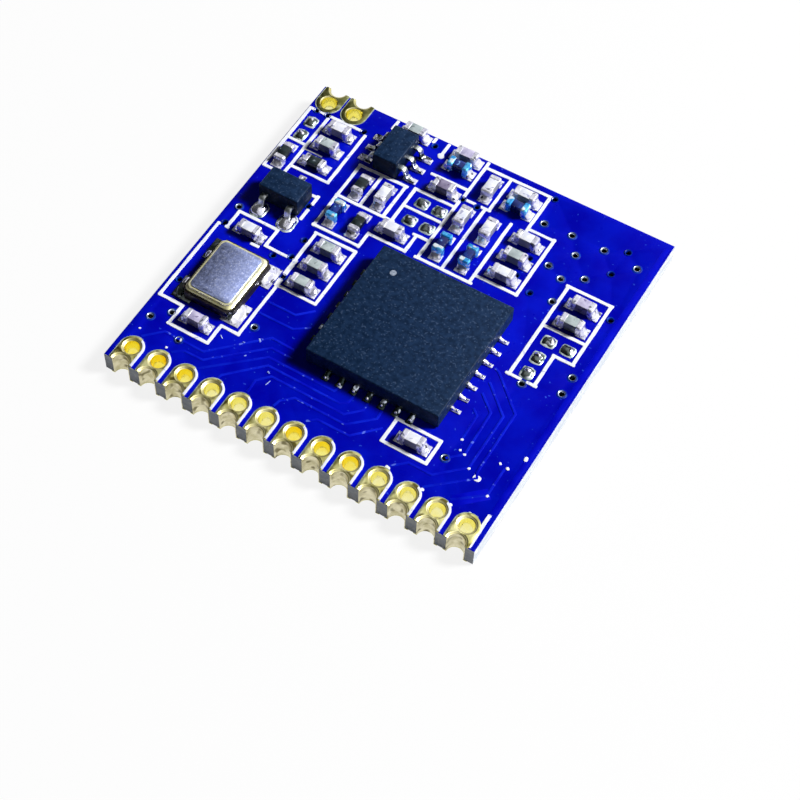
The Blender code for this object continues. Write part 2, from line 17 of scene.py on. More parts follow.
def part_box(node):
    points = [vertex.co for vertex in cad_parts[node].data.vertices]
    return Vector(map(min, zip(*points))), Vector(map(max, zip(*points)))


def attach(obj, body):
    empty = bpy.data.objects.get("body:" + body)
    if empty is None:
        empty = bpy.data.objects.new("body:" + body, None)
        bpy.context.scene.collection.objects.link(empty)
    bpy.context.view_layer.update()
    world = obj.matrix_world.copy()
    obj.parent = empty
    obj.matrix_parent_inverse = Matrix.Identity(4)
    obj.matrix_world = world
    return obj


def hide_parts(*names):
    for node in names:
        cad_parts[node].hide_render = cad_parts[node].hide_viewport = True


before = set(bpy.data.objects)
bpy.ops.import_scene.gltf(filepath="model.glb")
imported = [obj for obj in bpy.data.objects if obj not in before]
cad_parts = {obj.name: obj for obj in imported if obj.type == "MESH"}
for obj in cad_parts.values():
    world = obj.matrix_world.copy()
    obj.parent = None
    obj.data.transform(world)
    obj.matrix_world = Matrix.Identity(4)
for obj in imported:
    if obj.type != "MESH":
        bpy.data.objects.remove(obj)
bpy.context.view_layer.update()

LOG = logging.getLogger("transceiver_board")
MILLIMETRE = 0.001
SHARP_ANGLE = math.radians(38)
FULL_TURN = 2 * math.pi
EYE_GAMMA = 2.2
# Points closer than this are one point.
TOUCHING = 1e-5
# A face is upright where its normal rises less than this.
UPRIGHT = 0.5
# An edge that is longer than this share of a printed line runs along it.
LONG_SHARE = 0.6
# Edges that turn by more than this are rounded on a moulded body, and on a lead, in radians.
BODY_TURN = 0.3
LEAD_TURN = 1.0
LAND_EDGE = 0.012
# Shapes that cross on the board stand at levels of their own, one step apart.
LEVEL_STEP = 0.0008
LEVELS = 12
# The corners of a rectangle, anticlockwise, as signs of X and Y.
CORNERS = ((1, 1), (-1, 1), (-1, -1), (1, -1))
# Where a pattern's noise turns from one tone, or one gloss, to the other.
TONE_BAND = (0.36, 0.64)
GLOSS_BAND = (0.3, 0.7)
FINE_DETAIL = 3.0

Point = tuple[float, float]
Triple = tuple[float, float, float]
Colour = tuple[float, float, float, float]
Mark = tuple[float, float, float, float]
Loop = list[Point]
Socket = bpy.types.NodeSocket


def seen(red: float, green: float, blue: float) -> Colour:
    """Turns a colour as the eye reads it, 0 to 255, into the linear colour that a shader takes."""
    return (*((channel / 255) ** EYE_GAMMA for channel in (red, green, blue)), 1.0)


def grey(level: float) -> Colour:
    """A grey of some linear level."""
    return (level, level, level, 1.0)


def level_of(number: int) -> float:
    """How far a shape stands above or below its own height, by its number."""
    return LEVEL_STEP * (number % LEVELS)


def centre_of(node: str) -> Vector:
    """The middle of a node's box, in millimetres, at the height of its lowest point."""
    low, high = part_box(node)
    return Vector(((low.x + high.x) / 2, (low.y + high.y) / 2, low.z)) / MILLIMETRE


def size_of(node: str) -> Vector:
    """The extents of a node's box, in millimetres."""
    low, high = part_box(node)
    return (high - low) / MILLIMETRE


def nodes_named(stem: str) -> list[str]:
    """The names of the nodes that start with a stem, in order."""
    return sorted(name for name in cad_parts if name.startswith(stem))


class Weave:
    """The node tree of one finish, with pattern coordinates in millimetres."""

    def __init__(self, name: str, metallic: float, roughness: float, specular: float) -> None:
        """Starts the material with the values that are the same all over it.

        Args:
            name: The material's name.
            metallic: How far the surface is metal.
            roughness: How soft its gloss is.
            specular: The strength of a non-metal's gloss.
        """
        self.material = bpy.data.materials.new(name)
        self.material.use_nodes = True
        self.tree = self.material.node_tree
        self.shader = self.tree.nodes["Principled BSDF"]
        self.shader.inputs["Metallic"].default_value = metallic
        self.shader.inputs["Roughness"].default_value = roughness
        self.shader.inputs["Specular IOR Level"].default_value = specular
        self.place = self.mapped((1.0, 1.0, 1.0))

    def mapped(self, stretch: Triple) -> Socket:
        """Object coordinates in millimetres, scaled along each axis.

        Args:
            stretch: How many times finer a pattern comes out along each axis.

        Returns:
            The socket that gives them.
        """
        coordinates = self.tree.nodes.new("ShaderNodeTexCoord")
        mapping = self.tree.nodes.new("ShaderNodeMapping")
        mapping.inputs["Scale"].default_value = [share / MILLIMETRE for share in stretch]
        self.tree.links.new(coordinates.outputs["Object"], mapping.inputs["Vector"])
        return mapping.outputs["Vector"]

    def cloud(self, scale: float, detail: float = 2.0, place: Socket | None = None) -> Socket:
        """A soft noise pattern.

        Args:
            scale: Its cells in a millimetre.
            detail: How many finer layers it has.
            place: The coordinates that it reads, if they aren't the plain ones.

        Returns:
            The socket that gives the pattern.
        """
        pattern = self.tree.nodes.new("ShaderNodeTexNoise")
        pattern.inputs["Scale"].default_value = scale
        pattern.inputs["Detail"].default_value = detail
        self.tree.links.new(place or self.place, pattern.inputs["Vector"])
        return pattern.outputs["Fac"]

    def steps(self, source: Socket, band: Point, colours: Sequence[Colour]) -> Socket:
        """A ramp from one colour to another over a pattern.

        Args:
            source: The pattern's socket.
            band: Where the ramp starts and where it ends.
            colours: Its first and its last colour.

        Returns:
            The socket that gives the colour.
        """
        ramp = self.tree.nodes.new("ShaderNodeValToRGB")
        for element, position, colour in zip(ramp.color_ramp.elements, band, colours):
            element.position = position
            element.color = colour
        self.tree.links.new(source, ramp.inputs["Fac"])
        return ramp.outputs["Color"]

    def over(self, share: Socket, below: Socket, colour: Colour) -> Socket:
        """Lays one plain colour over another pattern.

        Args:
            share: How much of the colour shows.
            below: The colours under it.
            colour: The colour laid over them.

        Returns:
            The socket that gives the mixed colour.
        """
        mix = self.tree.nodes.new("ShaderNodeMix")
        mix.data_type = "RGBA"
        self.tree.links.new(share, mix.inputs["Factor"])
        self.tree.links.new(below, mix.inputs["A"])
        mix.inputs["B"].default_value = colour
        return mix.outputs["Result"]

    def relief(self, source: Socket, depth: float) -> None:
        """Bumps the surface by a pattern.

        Args:
            source: The pattern's socket.
            depth: Its full depth, in millimetres.
        """
        bump = self.tree.nodes.new("ShaderNodeBump")
        bump.inputs["Strength"].default_value = 1.0
        bump.inputs["Distance"].default_value = depth * MILLIMETRE
        self.tree.links.new(source, bump.inputs["Height"])
        self.tree.links.new(bump.outputs["Normal"], self.shader.inputs["Normal"])

    def dress(self, colour: Socket, roughness: Socket) -> None:
        """Joins the finished colour and roughness to the shader."""
        self.tree.links.new(colour, self.shader.inputs["Base Color"])
        self.tree.links.new(roughness, self.shader.inputs["Roughness"])


@dataclass(frozen=True)
class Finish:
    """One surface finish: two tones that drift into each other, flecks, and a fine relief.

    A fleck is where a finer pattern passes fleck_from. Grains are the cells in a millimetre, and
    the roughness varies by the polish both ways.
    """

    name: str
    dark: tuple[int, int, int]
    light: tuple[int, int, int]
    grain: float
    fleck: tuple[int, int, int] = (255, 255, 255)
    fleck_grain: float = 8.0
    fleck_from: float = 1.0
    fleck_blur: float = 0.06
    metallic: float = 0.0
    roughness: float = 0.5
    polish: float = 0.1
    specular: float = 0.5
    relief_grain: float = 6.0
    relief_depth: float = 0.004
    stretch: tuple[float, float, float] = (1.0, 1.0, 1.0)

    def dimmed(self, share: float) -> "Finish":
        """The same finish in darker tones, a painted shade for walls that stand in shade.

        Args:
            share: How much of each tone is left.

        Returns:
            The darker finish.
        """
        tones = {
            part: tuple(round(share * channel) for channel in getattr(self, part))
            for part in ("dark", "light", "fleck")
        }
        return replace(self, name=f"{self.name}_wall", **tones)

    def material(self) -> bpy.types.Material:
        """Makes the finish's material, or finds it if it is made already."""
        made = bpy.data.materials.get(f"{self.name}_finish")
        return made or self.mixed()

    def mixed(self) -> bpy.types.Material:
        """Mixes the finish's node tree.

        Returns:
            The new material.
        """
        weave = Weave(f"{self.name}_finish", self.metallic, self.roughness, self.specular)
        drift = weave.cloud(self.grain, FINE_DETAIL, weave.mapped(self.stretch))
        colour = weave.steps(drift, TONE_BAND, (seen(*self.dark), seen(*self.light)))
        if self.fleck_from < 1.0:
            flecks = weave.cloud(self.fleck_grain, 0.0)
            band = (self.fleck_from, self.fleck_from + self.fleck_blur)
            share = weave.steps(flecks, band, (grey(0.0), grey(1.0)))
            colour = weave.over(share, colour, seen(*self.fleck))
        levels = (grey(self.roughness - self.polish), grey(self.roughness + self.polish))
        gloss = weave.steps(weave.cloud(self.relief_grain / 2), GLOSS_BAND, levels)
        weave.relief(weave.cloud(self.relief_grain, FINE_DETAIL), self.relief_depth)
        weave.dress(colour, gloss)
        return weave.material


MASK = Finish(
    "blue_mask", (0, 8, 168), (3, 22, 188), 0.7, (44, 72, 208), 9.0, 0.82,
    roughness=0.36, specular=0.07, relief_grain=2.2, relief_depth=0.005,
)
COVERED_COPPER = Finish(
    "mask_over_copper", (6, 18, 186), (17, 38, 208), 1.2, (90, 112, 230), 5.0, 0.74,
    roughness=0.34, specular=0.1, relief_grain=3.0,
)
FAINT_COPPER = Finish(
    "mask_over_copper_field", (2, 10, 182), (8, 20, 200), 1.2,
    roughness=0.36, specular=0.08, relief_grain=2.4,
)
VIA_COLLAR = Finish(
    "mask_round_via", (4, 24, 120), (16, 60, 170), 3.0, roughness=0.34, specular=0.12, relief_grain=3.0,
)
LAMINATE = Finish(
    "glass_laminate", (214, 222, 234), (242, 246, 250), 1.1, (250, 252, 255), 6.0, 0.66,
    roughness=0.62, specular=0.3, relief_depth=0.01, stretch=(0.8, 0.8, 5.0),
)
PRINT = Finish(
    "white_print", (236, 240, 250), (252, 253, 255), 2.5, (202, 208, 240), 5.0, 0.74,
    roughness=0.6, specular=0.3, relief_grain=5.0, relief_depth=0.006,
)
FAINT_SPECK = Finish(
    "faint_specks", (118, 138, 222), (184, 200, 246), 4.0,
    roughness=0.6, specular=0.3, relief_grain=5.0,
)
GOLD = Finish(
    "gold_plate", (206, 198, 112), (248, 244, 178), 2.4, (120, 110, 58), 3.4, 0.55,
    fleck_blur=0.16, metallic=1.0, roughness=0.36, relief_grain=2.4, relief_depth=0.035,
)
# A darker gold, which the lands of the back row take.
DARKER_GOLD = Finish(
    "darker_gold_plate", (92, 92, 50), (134, 134, 84), 2.4, (176, 176, 128), 3.4, 0.66,
    fleck_blur=0.16, metallic=1.0, roughness=0.36, relief_grain=2.4, relief_depth=0.03,
)
LIP_GOLD = Finish(
    "hole_lip_gold", (186, 178, 118), (230, 222, 168), 2.4,
    metallic=1.0, roughness=0.4, polish=0.04, relief_grain=2.0, relief_depth=0.004,
)
# The gold of a hole's wall, brighter and more saturated than the lands': partly the plating's own colour,
# partly painted light for the light bounced round inside the hole.
BORE_GOLD = Finish(
    "bore_gold", (255, 230, 74), (255, 247, 136), 1.2,
    metallic=1.0, roughness=0.14, polish=0.04, relief_grain=2.4, relief_depth=0.012,
)
# A paler copy of the bore's gold for the holes at some places: painted light.
PALE_BORE_GOLD = Finish(
    "pale_bore_gold", (252, 242, 146), (255, 250, 186), 1.2,
    metallic=1.0, roughness=0.14, polish=0.04, relief_grain=2.4, relief_depth=0.012,
)
EDGE_GOLD = Finish(
    "half_hole_gold", (188, 180, 138), (234, 226, 190), 2.6, (122, 114, 78), 3.4, 0.6,
    fleck_blur=0.16, metallic=1.0, roughness=0.3, relief_grain=2.6, relief_depth=0.02,
)
LAND_RIM = Finish(
    "land_rim", (126, 138, 110), (198, 206, 184), 2.6,
    metallic=0.2, roughness=0.5, relief_grain=4.0, relief_depth=0.01,
)
SOLDER = Finish(
    "tinned_solder", (206, 206, 230), (252, 252, 255), 3.0, (90, 92, 110), 4.6, 0.7,
    metallic=0.7, roughness=0.15, polish=0.05, relief_grain=4.2, relief_depth=0.035,
)
BEAD_SOLDER = replace(SOLDER, name="bead_solder", metallic=1.0)
# Near-black solder, a painted shade: on the vias' walls down their holes and on the chip's terminals along
# its left and front sides.
DEEP_SHADE_SOLDER = Finish(
    "deep_shade_solder", (34, 42, 42), (66, 76, 76), 2.4, (190, 198, 214), 3.4, 0.62,
    metallic=1.0, roughness=0.22, polish=0.06, relief_grain=4.0, relief_depth=0.03,
)
# A dark olive tin, a painted shade on the chip's terminal faces under its edge.
DARK_LEAD = Finish(
    "dark_lead", (60, 68, 54), (104, 112, 92), 2.4, (190, 196, 190), 3.0, 0.7,
    metallic=1.0, roughness=0.24, polish=0.06, relief_grain=4.0, relief_depth=0.02,
)
LEAD_TIN = Finish(
    "tinned_lead", (172, 182, 182), (230, 235, 236), 2.4, (74, 82, 80), 3.4, 0.6,
    metallic=1.0, roughness=0.3, polish=0.06, relief_grain=4.0, relief_depth=0.02,
)
VIA_TIN = Finish(
    "tinned_via", (132, 146, 164), (196, 204, 220), 3.0,
    metallic=1.0, roughness=0.32, relief_grain=4.0, relief_depth=0.01,
)
PALE_RIM = Finish(
    "pale_solder_rim", (176, 194, 190), (232, 240, 240), 3.0, (96, 120, 116), 4.0, 0.6,
    metallic=0.5, roughness=0.35, relief_grain=4.0, relief_depth=0.02,
)
# Dark solder: a painted shade on the crystal's left lands and plated corners, and a painted dark reflection
# in the middle of the spare lands' solder.
SHADED_SOLDER = Finish(
    "shaded_solder", (66, 78, 74), (122, 130, 128), 2.4, (220, 224, 232), 2.6, 0.66,
    metallic=1.0, roughness=0.26, relief_grain=3.0, relief_depth=0.025,
)
TERMINAL = Finish(
    "plated_terminal", (206, 206, 226), (246, 246, 255), 3.4, (110, 112, 132), 5.0, 0.68,
    metallic=0.6, roughness=0.26, polish=0.06, relief_grain=5.0, relief_depth=0.025,
)
# The moulding's dark blue: its own near-black, lifted towards slate blue by a painted sheen.
MOULD = Finish(
    "chip_mould", (17, 36, 60), (31, 51, 80), 5.0, (54, 71, 98), 12.0, 0.66,
    fleck_blur=0.1, roughness=0.46, specular=0.1, relief_grain=15.0, relief_depth=0.005,
)
DOT = Finish("marking_dot", (120, 132, 150), (168, 178, 196), 8.0, roughness=0.6, specular=0.3)
CERAMIC_BASE = Finish(
    "dark_ceramic", (14, 10, 12), (30, 22, 26), 3.0, (96, 84, 84), 5.0, 0.74,
    roughness=0.36, specular=0.35,
)
RING_GOLD = Finish(
    "seal_ring_gold", (244, 238, 178), (255, 252, 222), 2.4,
    metallic=0.7, roughness=0.25, polish=0.06, relief_grain=3.0, relief_depth=0.012,
)
LID = Finish(
    "metal_lid", (144, 156, 204), (166, 178, 224), 9.0, (188, 196, 230), 14.0, 0.66,
    metallic=1.0, roughness=0.44, relief_grain=14.0, relief_depth=0.006,
)
GLAZE = Finish(
    "resistor_glaze", (16, 26, 28), (36, 48, 52), 3.0, (130, 140, 150), 6.0, 0.72,
    roughness=0.3, specular=0.4,
)
COIL = Finish(
    "coil_coating", (14, 30, 92), (26, 56, 138), 3.0, (120, 170, 230), 6.0, 0.7,
    roughness=0.25, specular=0.5,
)
# The inductors' ends in vivid cyan: a painted highlight over their tinned metal.
CYAN_HIGHLIGHT_TERMINAL = Finish(
    "coil_terminal_cyan_highlight", (36, 150, 232), (116, 208, 255), 3.0, (236, 248, 255), 4.0, 0.58,
    metallic=0.6, roughness=0.3,
)


class Ceramic(Enum):
    """The ceramic tones of the capacitors, from white to plum."""

    WHITE = Finish(
        "white_ceramic", (224, 228, 244), (250, 251, 255), 3.2, (176, 178, 210), 5.0, 0.7,
        roughness=0.4,
    )
    BEIGE = Finish(
        "beige_ceramic", (158, 172, 174), (192, 203, 204), 3.2, (124, 134, 136), 5.0, 0.7,
        roughness=0.4,
    )
    LILAC = Finish(
        "lilac_ceramic", (176, 170, 205), (212, 206, 232), 3.2, (134, 126, 166), 5.0, 0.68,
        roughness=0.4,
    )
    PLUM = Finish(
        "plum_ceramic", (112, 104, 132), (150, 142, 170), 3.2, (90, 80, 110), 5.0, 0.68,
        roughness=0.38,
    )


def arc(centre: Point, radius: float, start: float, stop: float, steps: int) -> Loop:
    """The points of an arc.

    Args:
        centre: Its middle.
        radius: Its radius.
        start: The angle of its first point, in degrees.
        stop: The angle of its last point, in degrees.
        steps: How many chords it has.

    Returns:
        The points, with both ends.
    """
    x, y = centre
    angles = (math.radians(start + (stop - start) * step / steps) for step in range(steps + 1))
    return [(x + radius * math.cos(angle), y + radius * math.sin(angle)) for angle in angles]


def circle(centre: Point, radius: float, steps: int) -> Loop:
    """The points of a full circle."""
    return arc(centre, radius, 0, 360, steps)[:-1]


def rounded(width: float, length: float, radius: float, steps: int = 5) -> Loop:
    """The outline of a rectangle with round corners, about its middle.

    Args:
        width: Its size along X.
        length: Its size along Y.
        radius: Its corners' radius.
        steps: The chords of each corner.

    Returns:
        The outline's points.
    """
    points: Loop = []
    for turn, (side, end) in enumerate(CORNERS):
        corner = (side * (width / 2 - radius), end * (length / 2 - radius))
        points += arc(corner, radius, 90 * turn, 90 * turn + 90, steps)
    return points


def ribbon(route: Sequence[Point], width: float) -> Loop:
    """The outline of a band along a route, with mitred bends.

    Args:
        route: The points along the band's middle.
        width: The band's width.

    Returns:
        The outline's points.
    """
    points = [Vector(point) for point in route]
    runs = [(stop - start).normalized() for start, stop in zip(points, points[1:])]
    left: Loop = []
    right: Loop = []
    for point, before, after in zip(points, runs[:1] + runs, runs + runs[-1:]):
        across = Vector((-before.y - after.y, before.x + after.x)).normalized()
        reach = width / 2 / across.dot(Vector((-before.y, before.x)))
        left.append(tuple(point + across * reach))
        right.append(tuple(point - across * reach))
    return left + right[::-1]


def flare(outer: Point, inner: Point, first: float, last: float, steps: int = 5) -> Loop:
    """The profile of a countersink that grows steeper from a flat top towards a hole.

    Args:
        outer: The radius and height at which it leaves the top.
        inner: The radius and height at which it meets the hole's wall.
        first: Its relative slope at the top.
        last: Its relative slope at the wall.
        steps: Its chords.

    Returns:
        The profile's points, as radius and height.
    """
    shares = [step / steps for step in range(steps + 1)]
    full = (first + last) / 2
    drops = [(first * share + (last - first) * share * share / 2) / full for share in shares]
    return [
        (outer[0] + (inner[0] - outer[0]) * share, outer[1] + (inner[1] - outer[1]) * drop)
        for share, drop in zip(shares, drops)
    ]


def knee(outer: Point, inner: Point, steps: int = 5) -> Loop:
    """The profile of a surface that turns over from a flat top to an upright wall.

    Args:
        outer: The radius and height at which it leaves the top.
        inner: The radius and height at which it meets the wall.
        steps: Its chords.

    Returns:
        The profile's points, as radius and height.
    """
    turns = (math.pi / 2 * step / steps for step in range(steps + 1))
    return [
        (
            outer[0] - (outer[0] - inner[0]) * math.sin(turn),
            inner[1] + (outer[1] - inner[1]) * math.cos(turn),
        )
        for turn in turns
    ]


def only(kind: type, items: Iterable) -> list:
    """The items of one kind."""
    return [item for item in items if isinstance(item, kind)]


def bevelled(mesh: BMesh, edges: Iterable[BMEdge], width: float, steps: int = 2) -> BMesh:
    """Rounds some edges of a mesh.

    Args:
        mesh: The mesh.
        edges: The edges to round.
        width: The width of the rounding.
        steps: Its segments.

    Returns:
        The same mesh.
    """
    bmesh.ops.bevel(
        mesh, geom=list(edges), offset=width, offset_type="OFFSET", segments=steps,
        profile=0.5, affect="EDGES", clamp_overlap=True, material=-1,
    )
    return mesh


def block(size: Sequence[float], edge: float = 0.0, steps: int = 2) -> BMesh:
    """A box about its middle, with rounded edges.

    Args:
        size: Its extents.
        edge: The width of its edges' rounding.
        steps: The segments of the rounding.

    Returns:
        The mesh.
    """
    mesh = bmesh.new()
    bmesh.ops.create_cube(mesh, size=1.0)
    bmesh.ops.scale(mesh, vec=size, verts=mesh.verts)
    return bevelled(mesh, mesh.edges, edge, steps) if edge else mesh


def plate(outline: Loop, holes: Sequence[Loop], low: float, high: float, edge: float = 0.0) -> BMesh:
    """A flat plate with holes.

    Args:
        outline: The points round it.
        holes: The points round each hole.
        low: The height of its underside.
        high: The height of its top.
        edge: The width of the rounding along its top rims.

    Returns:
        The mesh.
    """
    mesh = bmesh.new()
    for loop in (outline, *holes):
        corners = [mesh.verts.new((x, y, low)) for x, y in loop]
        for first, second in zip(corners, corners[1:] + corners[:1]):
            mesh.edges.new((first, second))
    bmesh.ops.triangle_fill(mesh, use_beauty=True, use_dissolve=False, edges=mesh.edges)
    raised = bmesh.ops.extrude_face_region(mesh, geom=mesh.faces[:])["geom"]
    bmesh.ops.translate(mesh, vec=(0, 0, high - low), verts=only(BMVert, raised))
    bmesh.ops.recalc_face_normals(mesh, faces=mesh.faces)
    return bevelled(mesh, top_rims(mesh, high), edge) if edge else mesh


def top_rims(mesh: BMesh, high: float) -> list[BMEdge]:
    """The edges at the top of a plate that border one of its walls."""
    return [edge for edge in mesh.edges if is_top_rim(edge, high)]


def is_top_rim(edge: BMEdge, high: float) -> bool:
    """True for an edge at the top of a plate that borders one of its walls."""
    level = all(abs(corner.co.z - high) < TOUCHING for corner in edge.verts)
    return level and any(abs(face.normal.z) < UPRIGHT for face in edge.link_faces)


def sloped(mesh: BMesh, low: float, high: float, width: float, slope: float) -> BMesh:
    """Gives a plate's top rims a gentle slope.

    Args:
        mesh: The plate, with square rims.
        low: The height of its underside.
        high: The height of its top.
        width: How far in the slope reaches.
        slope: Its fall for each unit of its width.

    Returns:
        The same mesh.
    """
    bevelled(mesh, top_rims(mesh, high), width, 1)
    for corner in mesh.verts:
        if low + TOUCHING < corner.co.z < high - TOUCHING:
            corner.co.z = high - slope * width
    return mesh


def turned(profile: Sequence[Point], steps: int) -> BMesh:
    """A closed profile spun round the Z axis.

    Args:
        profile: Its points, as radius and height.
        steps: The segments of the full turn.

    Returns:
        The mesh.
    """
    mesh = bmesh.new()
    corners = [mesh.verts.new((radius, 0, height)) for radius, height in profile]
    rims = [mesh.edges.new(pair) for pair in zip(corners, corners[1:] + corners[:1])]
    bmesh.ops.spin(
        mesh, geom=[*corners, *rims], cent=(0, 0, 0), axis=(0, 0, 1), angle=FULL_TURN,
        steps=steps, use_merge=True,
    )
    bmesh.ops.remove_doubles(mesh, verts=mesh.verts, dist=TOUCHING)
    bmesh.ops.recalc_face_normals(mesh, faces=mesh.faces)
    return mesh


def cut_off(mesh: BMesh, point: Triple, away: Triple) -> BMesh:
    """Cuts off what lies beyond a plane and closes the cut.

    Args:
        mesh: The mesh.
        point: A point on the plane.
        away: The direction of what is cut off.

    Returns:
        The same mesh.
    """
    everything = [*mesh.verts, *mesh.edges, *mesh.faces]
    bmesh.ops.bisect_plane(mesh, geom=everything, plane_co=point, plane_no=away, clear_outer=True)
    bmesh.ops.holes_fill(mesh, edges=[edge for edge in mesh.edges if edge.is_boundary])
    return mesh


def softened(mesh: BMesh, rounds: int) -> BMesh:
    """Moves each point of a mesh half way to the middle of its neighbours.

    Args:
        mesh: The mesh.
        rounds: How often.

    Returns:
        The same mesh.
    """
    for _ in range(rounds):
        bmesh.ops.smooth_vert(
            mesh, verts=mesh.verts, factor=0.5, use_axis_x=True, use_axis_y=True, use_axis_z=True
        )
    return mesh


def lumpy(mesh: BMesh, height: float, grain: float, seed: float) -> BMesh:
    """Moves a mesh's points along their normals by a smooth noise.

    Args:
        mesh: The mesh.
        height: How far a point may move.
        grain: The size of a lump.
        seed: Which part of the noise it reads.

    Returns:
        The same mesh.
    """
    mesh.normal_update()
    for point in mesh.verts:
        lift = noise.noise(point.co / grain + Vector((seed, -seed, 0.5 * seed)))
        point.co += point.normal * height * lift
    return mesh


def divided(size: Sequence[float], cuts: int, edge: float = 0.0) -> BMesh:
    """A box whose faces are divided, ready to be shaped point by point.

    Args:
        size: Its extents.
        cuts: How often each edge is cut.
        edge: The width of its edges' bevel.

    Returns:
        The mesh.
    """
    mesh = block(size, edge, 1)
    bmesh.ops.subdivide_edges(mesh, edges=mesh.edges, cuts=cuts, use_grid_fill=True)
    return mesh


@dataclass
class SolderFillet:
    """Solder that climbs a wall at X = 0 from a land that it wets out to its toe."""

    length: float
    width: float
    height: float
    toe: float = 0.05
    lump: float = 0.02
    grain: float = 0.16
    cuts: int = 4
    sweep: float = 1.8
    narrowing: float = 0.35
    round_toe: float = 0.25
    lean: float = 0.12
    crown: float = 0.3

    def mesh(self, seed: float) -> BMesh:
        """Models the fillet.

        Args:
            seed: What makes one fillet's lumps differ from another's.

        Returns:
            Its mesh, with the foot at Z = 0.
        """
        mesh = divided((1, 1, 1), self.cuts)
        for point in mesh.verts:
            reach, across, rise = point.co.x + 0.5, 2 * point.co.y, point.co.z + 0.5
            top = self.toe + (self.height - self.toe) * (1 - reach) ** self.sweep
            half = self.width / 2 * (1 - self.narrowing * reach**3)
            point.co.x = self.length * reach * (1 - self.round_toe * across * across * reach)
            point.co.y = half * across * (1 - self.lean * rise)
            point.co.z = rise * top * (1 - self.crown * across**4)
        return lumpy(softened(mesh, 2), self.lump, self.grain, seed)


@dataclass
class SolderDome:
    """A dome of solder that stands on a land."""

    length: float
    width: float
    height: float
    lump: float = 0.02
    grain: float = 0.2

    def mesh(self, seed: float) -> BMesh:
        """Models the dome, with its foot at Z = 0.

        Args:
            seed: What makes one dome's lumps differ from another's.

        Returns:
            Its mesh.
        """
        mesh = bmesh.new()
        bmesh.ops.create_icosphere(mesh, subdivisions=3, radius=0.5)
        for point in mesh.verts:
            square = 1 + abs(point.co.x * point.co.y)
            point.co.x *= square
            point.co.y *= square
        cut_off(mesh, (0, 0, 0), (0, 0, -1))
        bmesh.ops.scale(mesh, vec=(self.length, self.width, 2 * self.height), verts=mesh.verts)
        return lumpy(mesh, self.lump, self.grain, seed)


@dataclass
class SolderPillow:
    """Flat solder that fills a square land and sags towards its rim."""

    length: float
    width: float
    height: float
    lump: float = 0.03
    grain: float = 0.18
    cuts: int = 5
    rim_sag: float = 0.6
    end_pinch: float = 0.5
    side_pinch: float = 0.3

    def mesh(self, seed: float) -> BMesh:
        """Models the pillow, with its foot at Z = 0.

        Args:
            seed: What makes one pillow's lumps differ from another's.

        Returns:
            Its mesh.
        """
        mesh = divided((1, 1, 1), self.cuts)
        for point in mesh.verts:
            sag = 1 - self.rim_sag * (2 * max(abs(point.co.x), abs(point.co.y))) ** 4
            point.co.x *= self.length * (1 - self.end_pinch * point.co.y * point.co.y)
            point.co.y *= self.width * (1 - self.side_pinch * (point.co.x / self.length) ** 2)
            point.co.z = (point.co.z + 0.5) * self.height * sag
        return lumpy(softened(mesh, 1), self.lump, self.grain, seed)


@dataclass
class Draft:
    """A piece being modelled in millimetres, each shape with a finish of its own."""

    name: str
    slot: str
    replaced: Sequence[str] = ()
    finishes: list[Finish] = field(default_factory=list)

    def __post_init__(self) -> None:
        """Starts the piece's mesh."""
        self.mesh = bmesh.new()

    def index_of(self, finish: Finish) -> int:
        """The number of a finish in the piece, which takes it on if it is new.

        Args:
            finish: The finish.

        Returns:
            Its number.
        """
        if finish not in self.finishes:
            self.finishes.append(finish)
        return self.finishes.index(finish)

    def add(
        self, shape: BMesh, finish: Finish, place: Matrix = Matrix(), walls: Finish | None = None
    ) -> None:
        """Adds a finished shape.

        Args:
            shape: The shape, which is used up.
            finish: Its finish.
            place: Where it goes in the piece.
            walls: A darker copy of the finish for its upright faces, which paints shade on them, if they
                take one.
        """
        index = self.index_of(finish)
        wall_index = self.index_of(walls) if walls else index
        shape.transform(place)
        shape.normal_update()
        for face in shape.faces:
            face.material_index = wall_index if abs(face.normal.z) < UPRIGHT else index
            face.smooth = True
        carrier = bpy.data.meshes.new("carrier")
        shape.to_mesh(carrier)
        shape.free()
        self.mesh.from_mesh(carrier)
        bpy.data.meshes.remove(carrier)

    def finished(self) -> bpy.types.Object:
        """Makes the piece's object, rides it on the root body and hides what it replaces.

        Returns:
            The object.
        """
        self.mesh.transform(Matrix.Scale(MILLIMETRE, 4))
        mesh = bpy.data.meshes.new(self.name)
        self.mesh.to_mesh(mesh)
        self.mesh.free()
        for finish in self.finishes:
            mesh.materials.append(finish.material())
        mesh.set_sharp_from_angle(angle=SHARP_ANGLE)
        piece = bpy.data.objects.new(self.name, mesh)
        bpy.context.scene.collection.objects.link(piece)
        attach(piece, "root")
        if self.replaced:
            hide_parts(*self.replaced)
        LOG.info("%s: %d faces", self.name, len(mesh.polygons))
        return piece


def at(x: float, y: float, z: float, turn: float = 0.0) -> Matrix:
    """A place on the board, turned about Z by some degrees."""
    return Matrix.Translation((x, y, z)) @ Matrix.Rotation(math.radians(turn), 4, "Z")


@dataclass(frozen=True)
class PadPlace:
    """One pad: its node, the middle of its hole, the side of the board it is on, and its own sizes.

    The side is -1 at the front and 1 at the back. The offset is how far the middle of the half hole
    lies past the board's edge.
    """

    node: str
    hole: Vector
    side: int
    width: float
    setback: float
    offset: float
    bore: float
    lip: float

    def half_hole_middle(self) -> Point:
        """The middle of the half hole, in the pad's own frame."""
        return (0.0, -self.setback - self.offset)

    def turn(self) -> Matrix:
        """The pad's place, from a frame with its hole at the origin and the board's edge towards -Y."""
        return at(self.hole.x, self.hole.y, 0, 0 if self.side < 0 else 180)


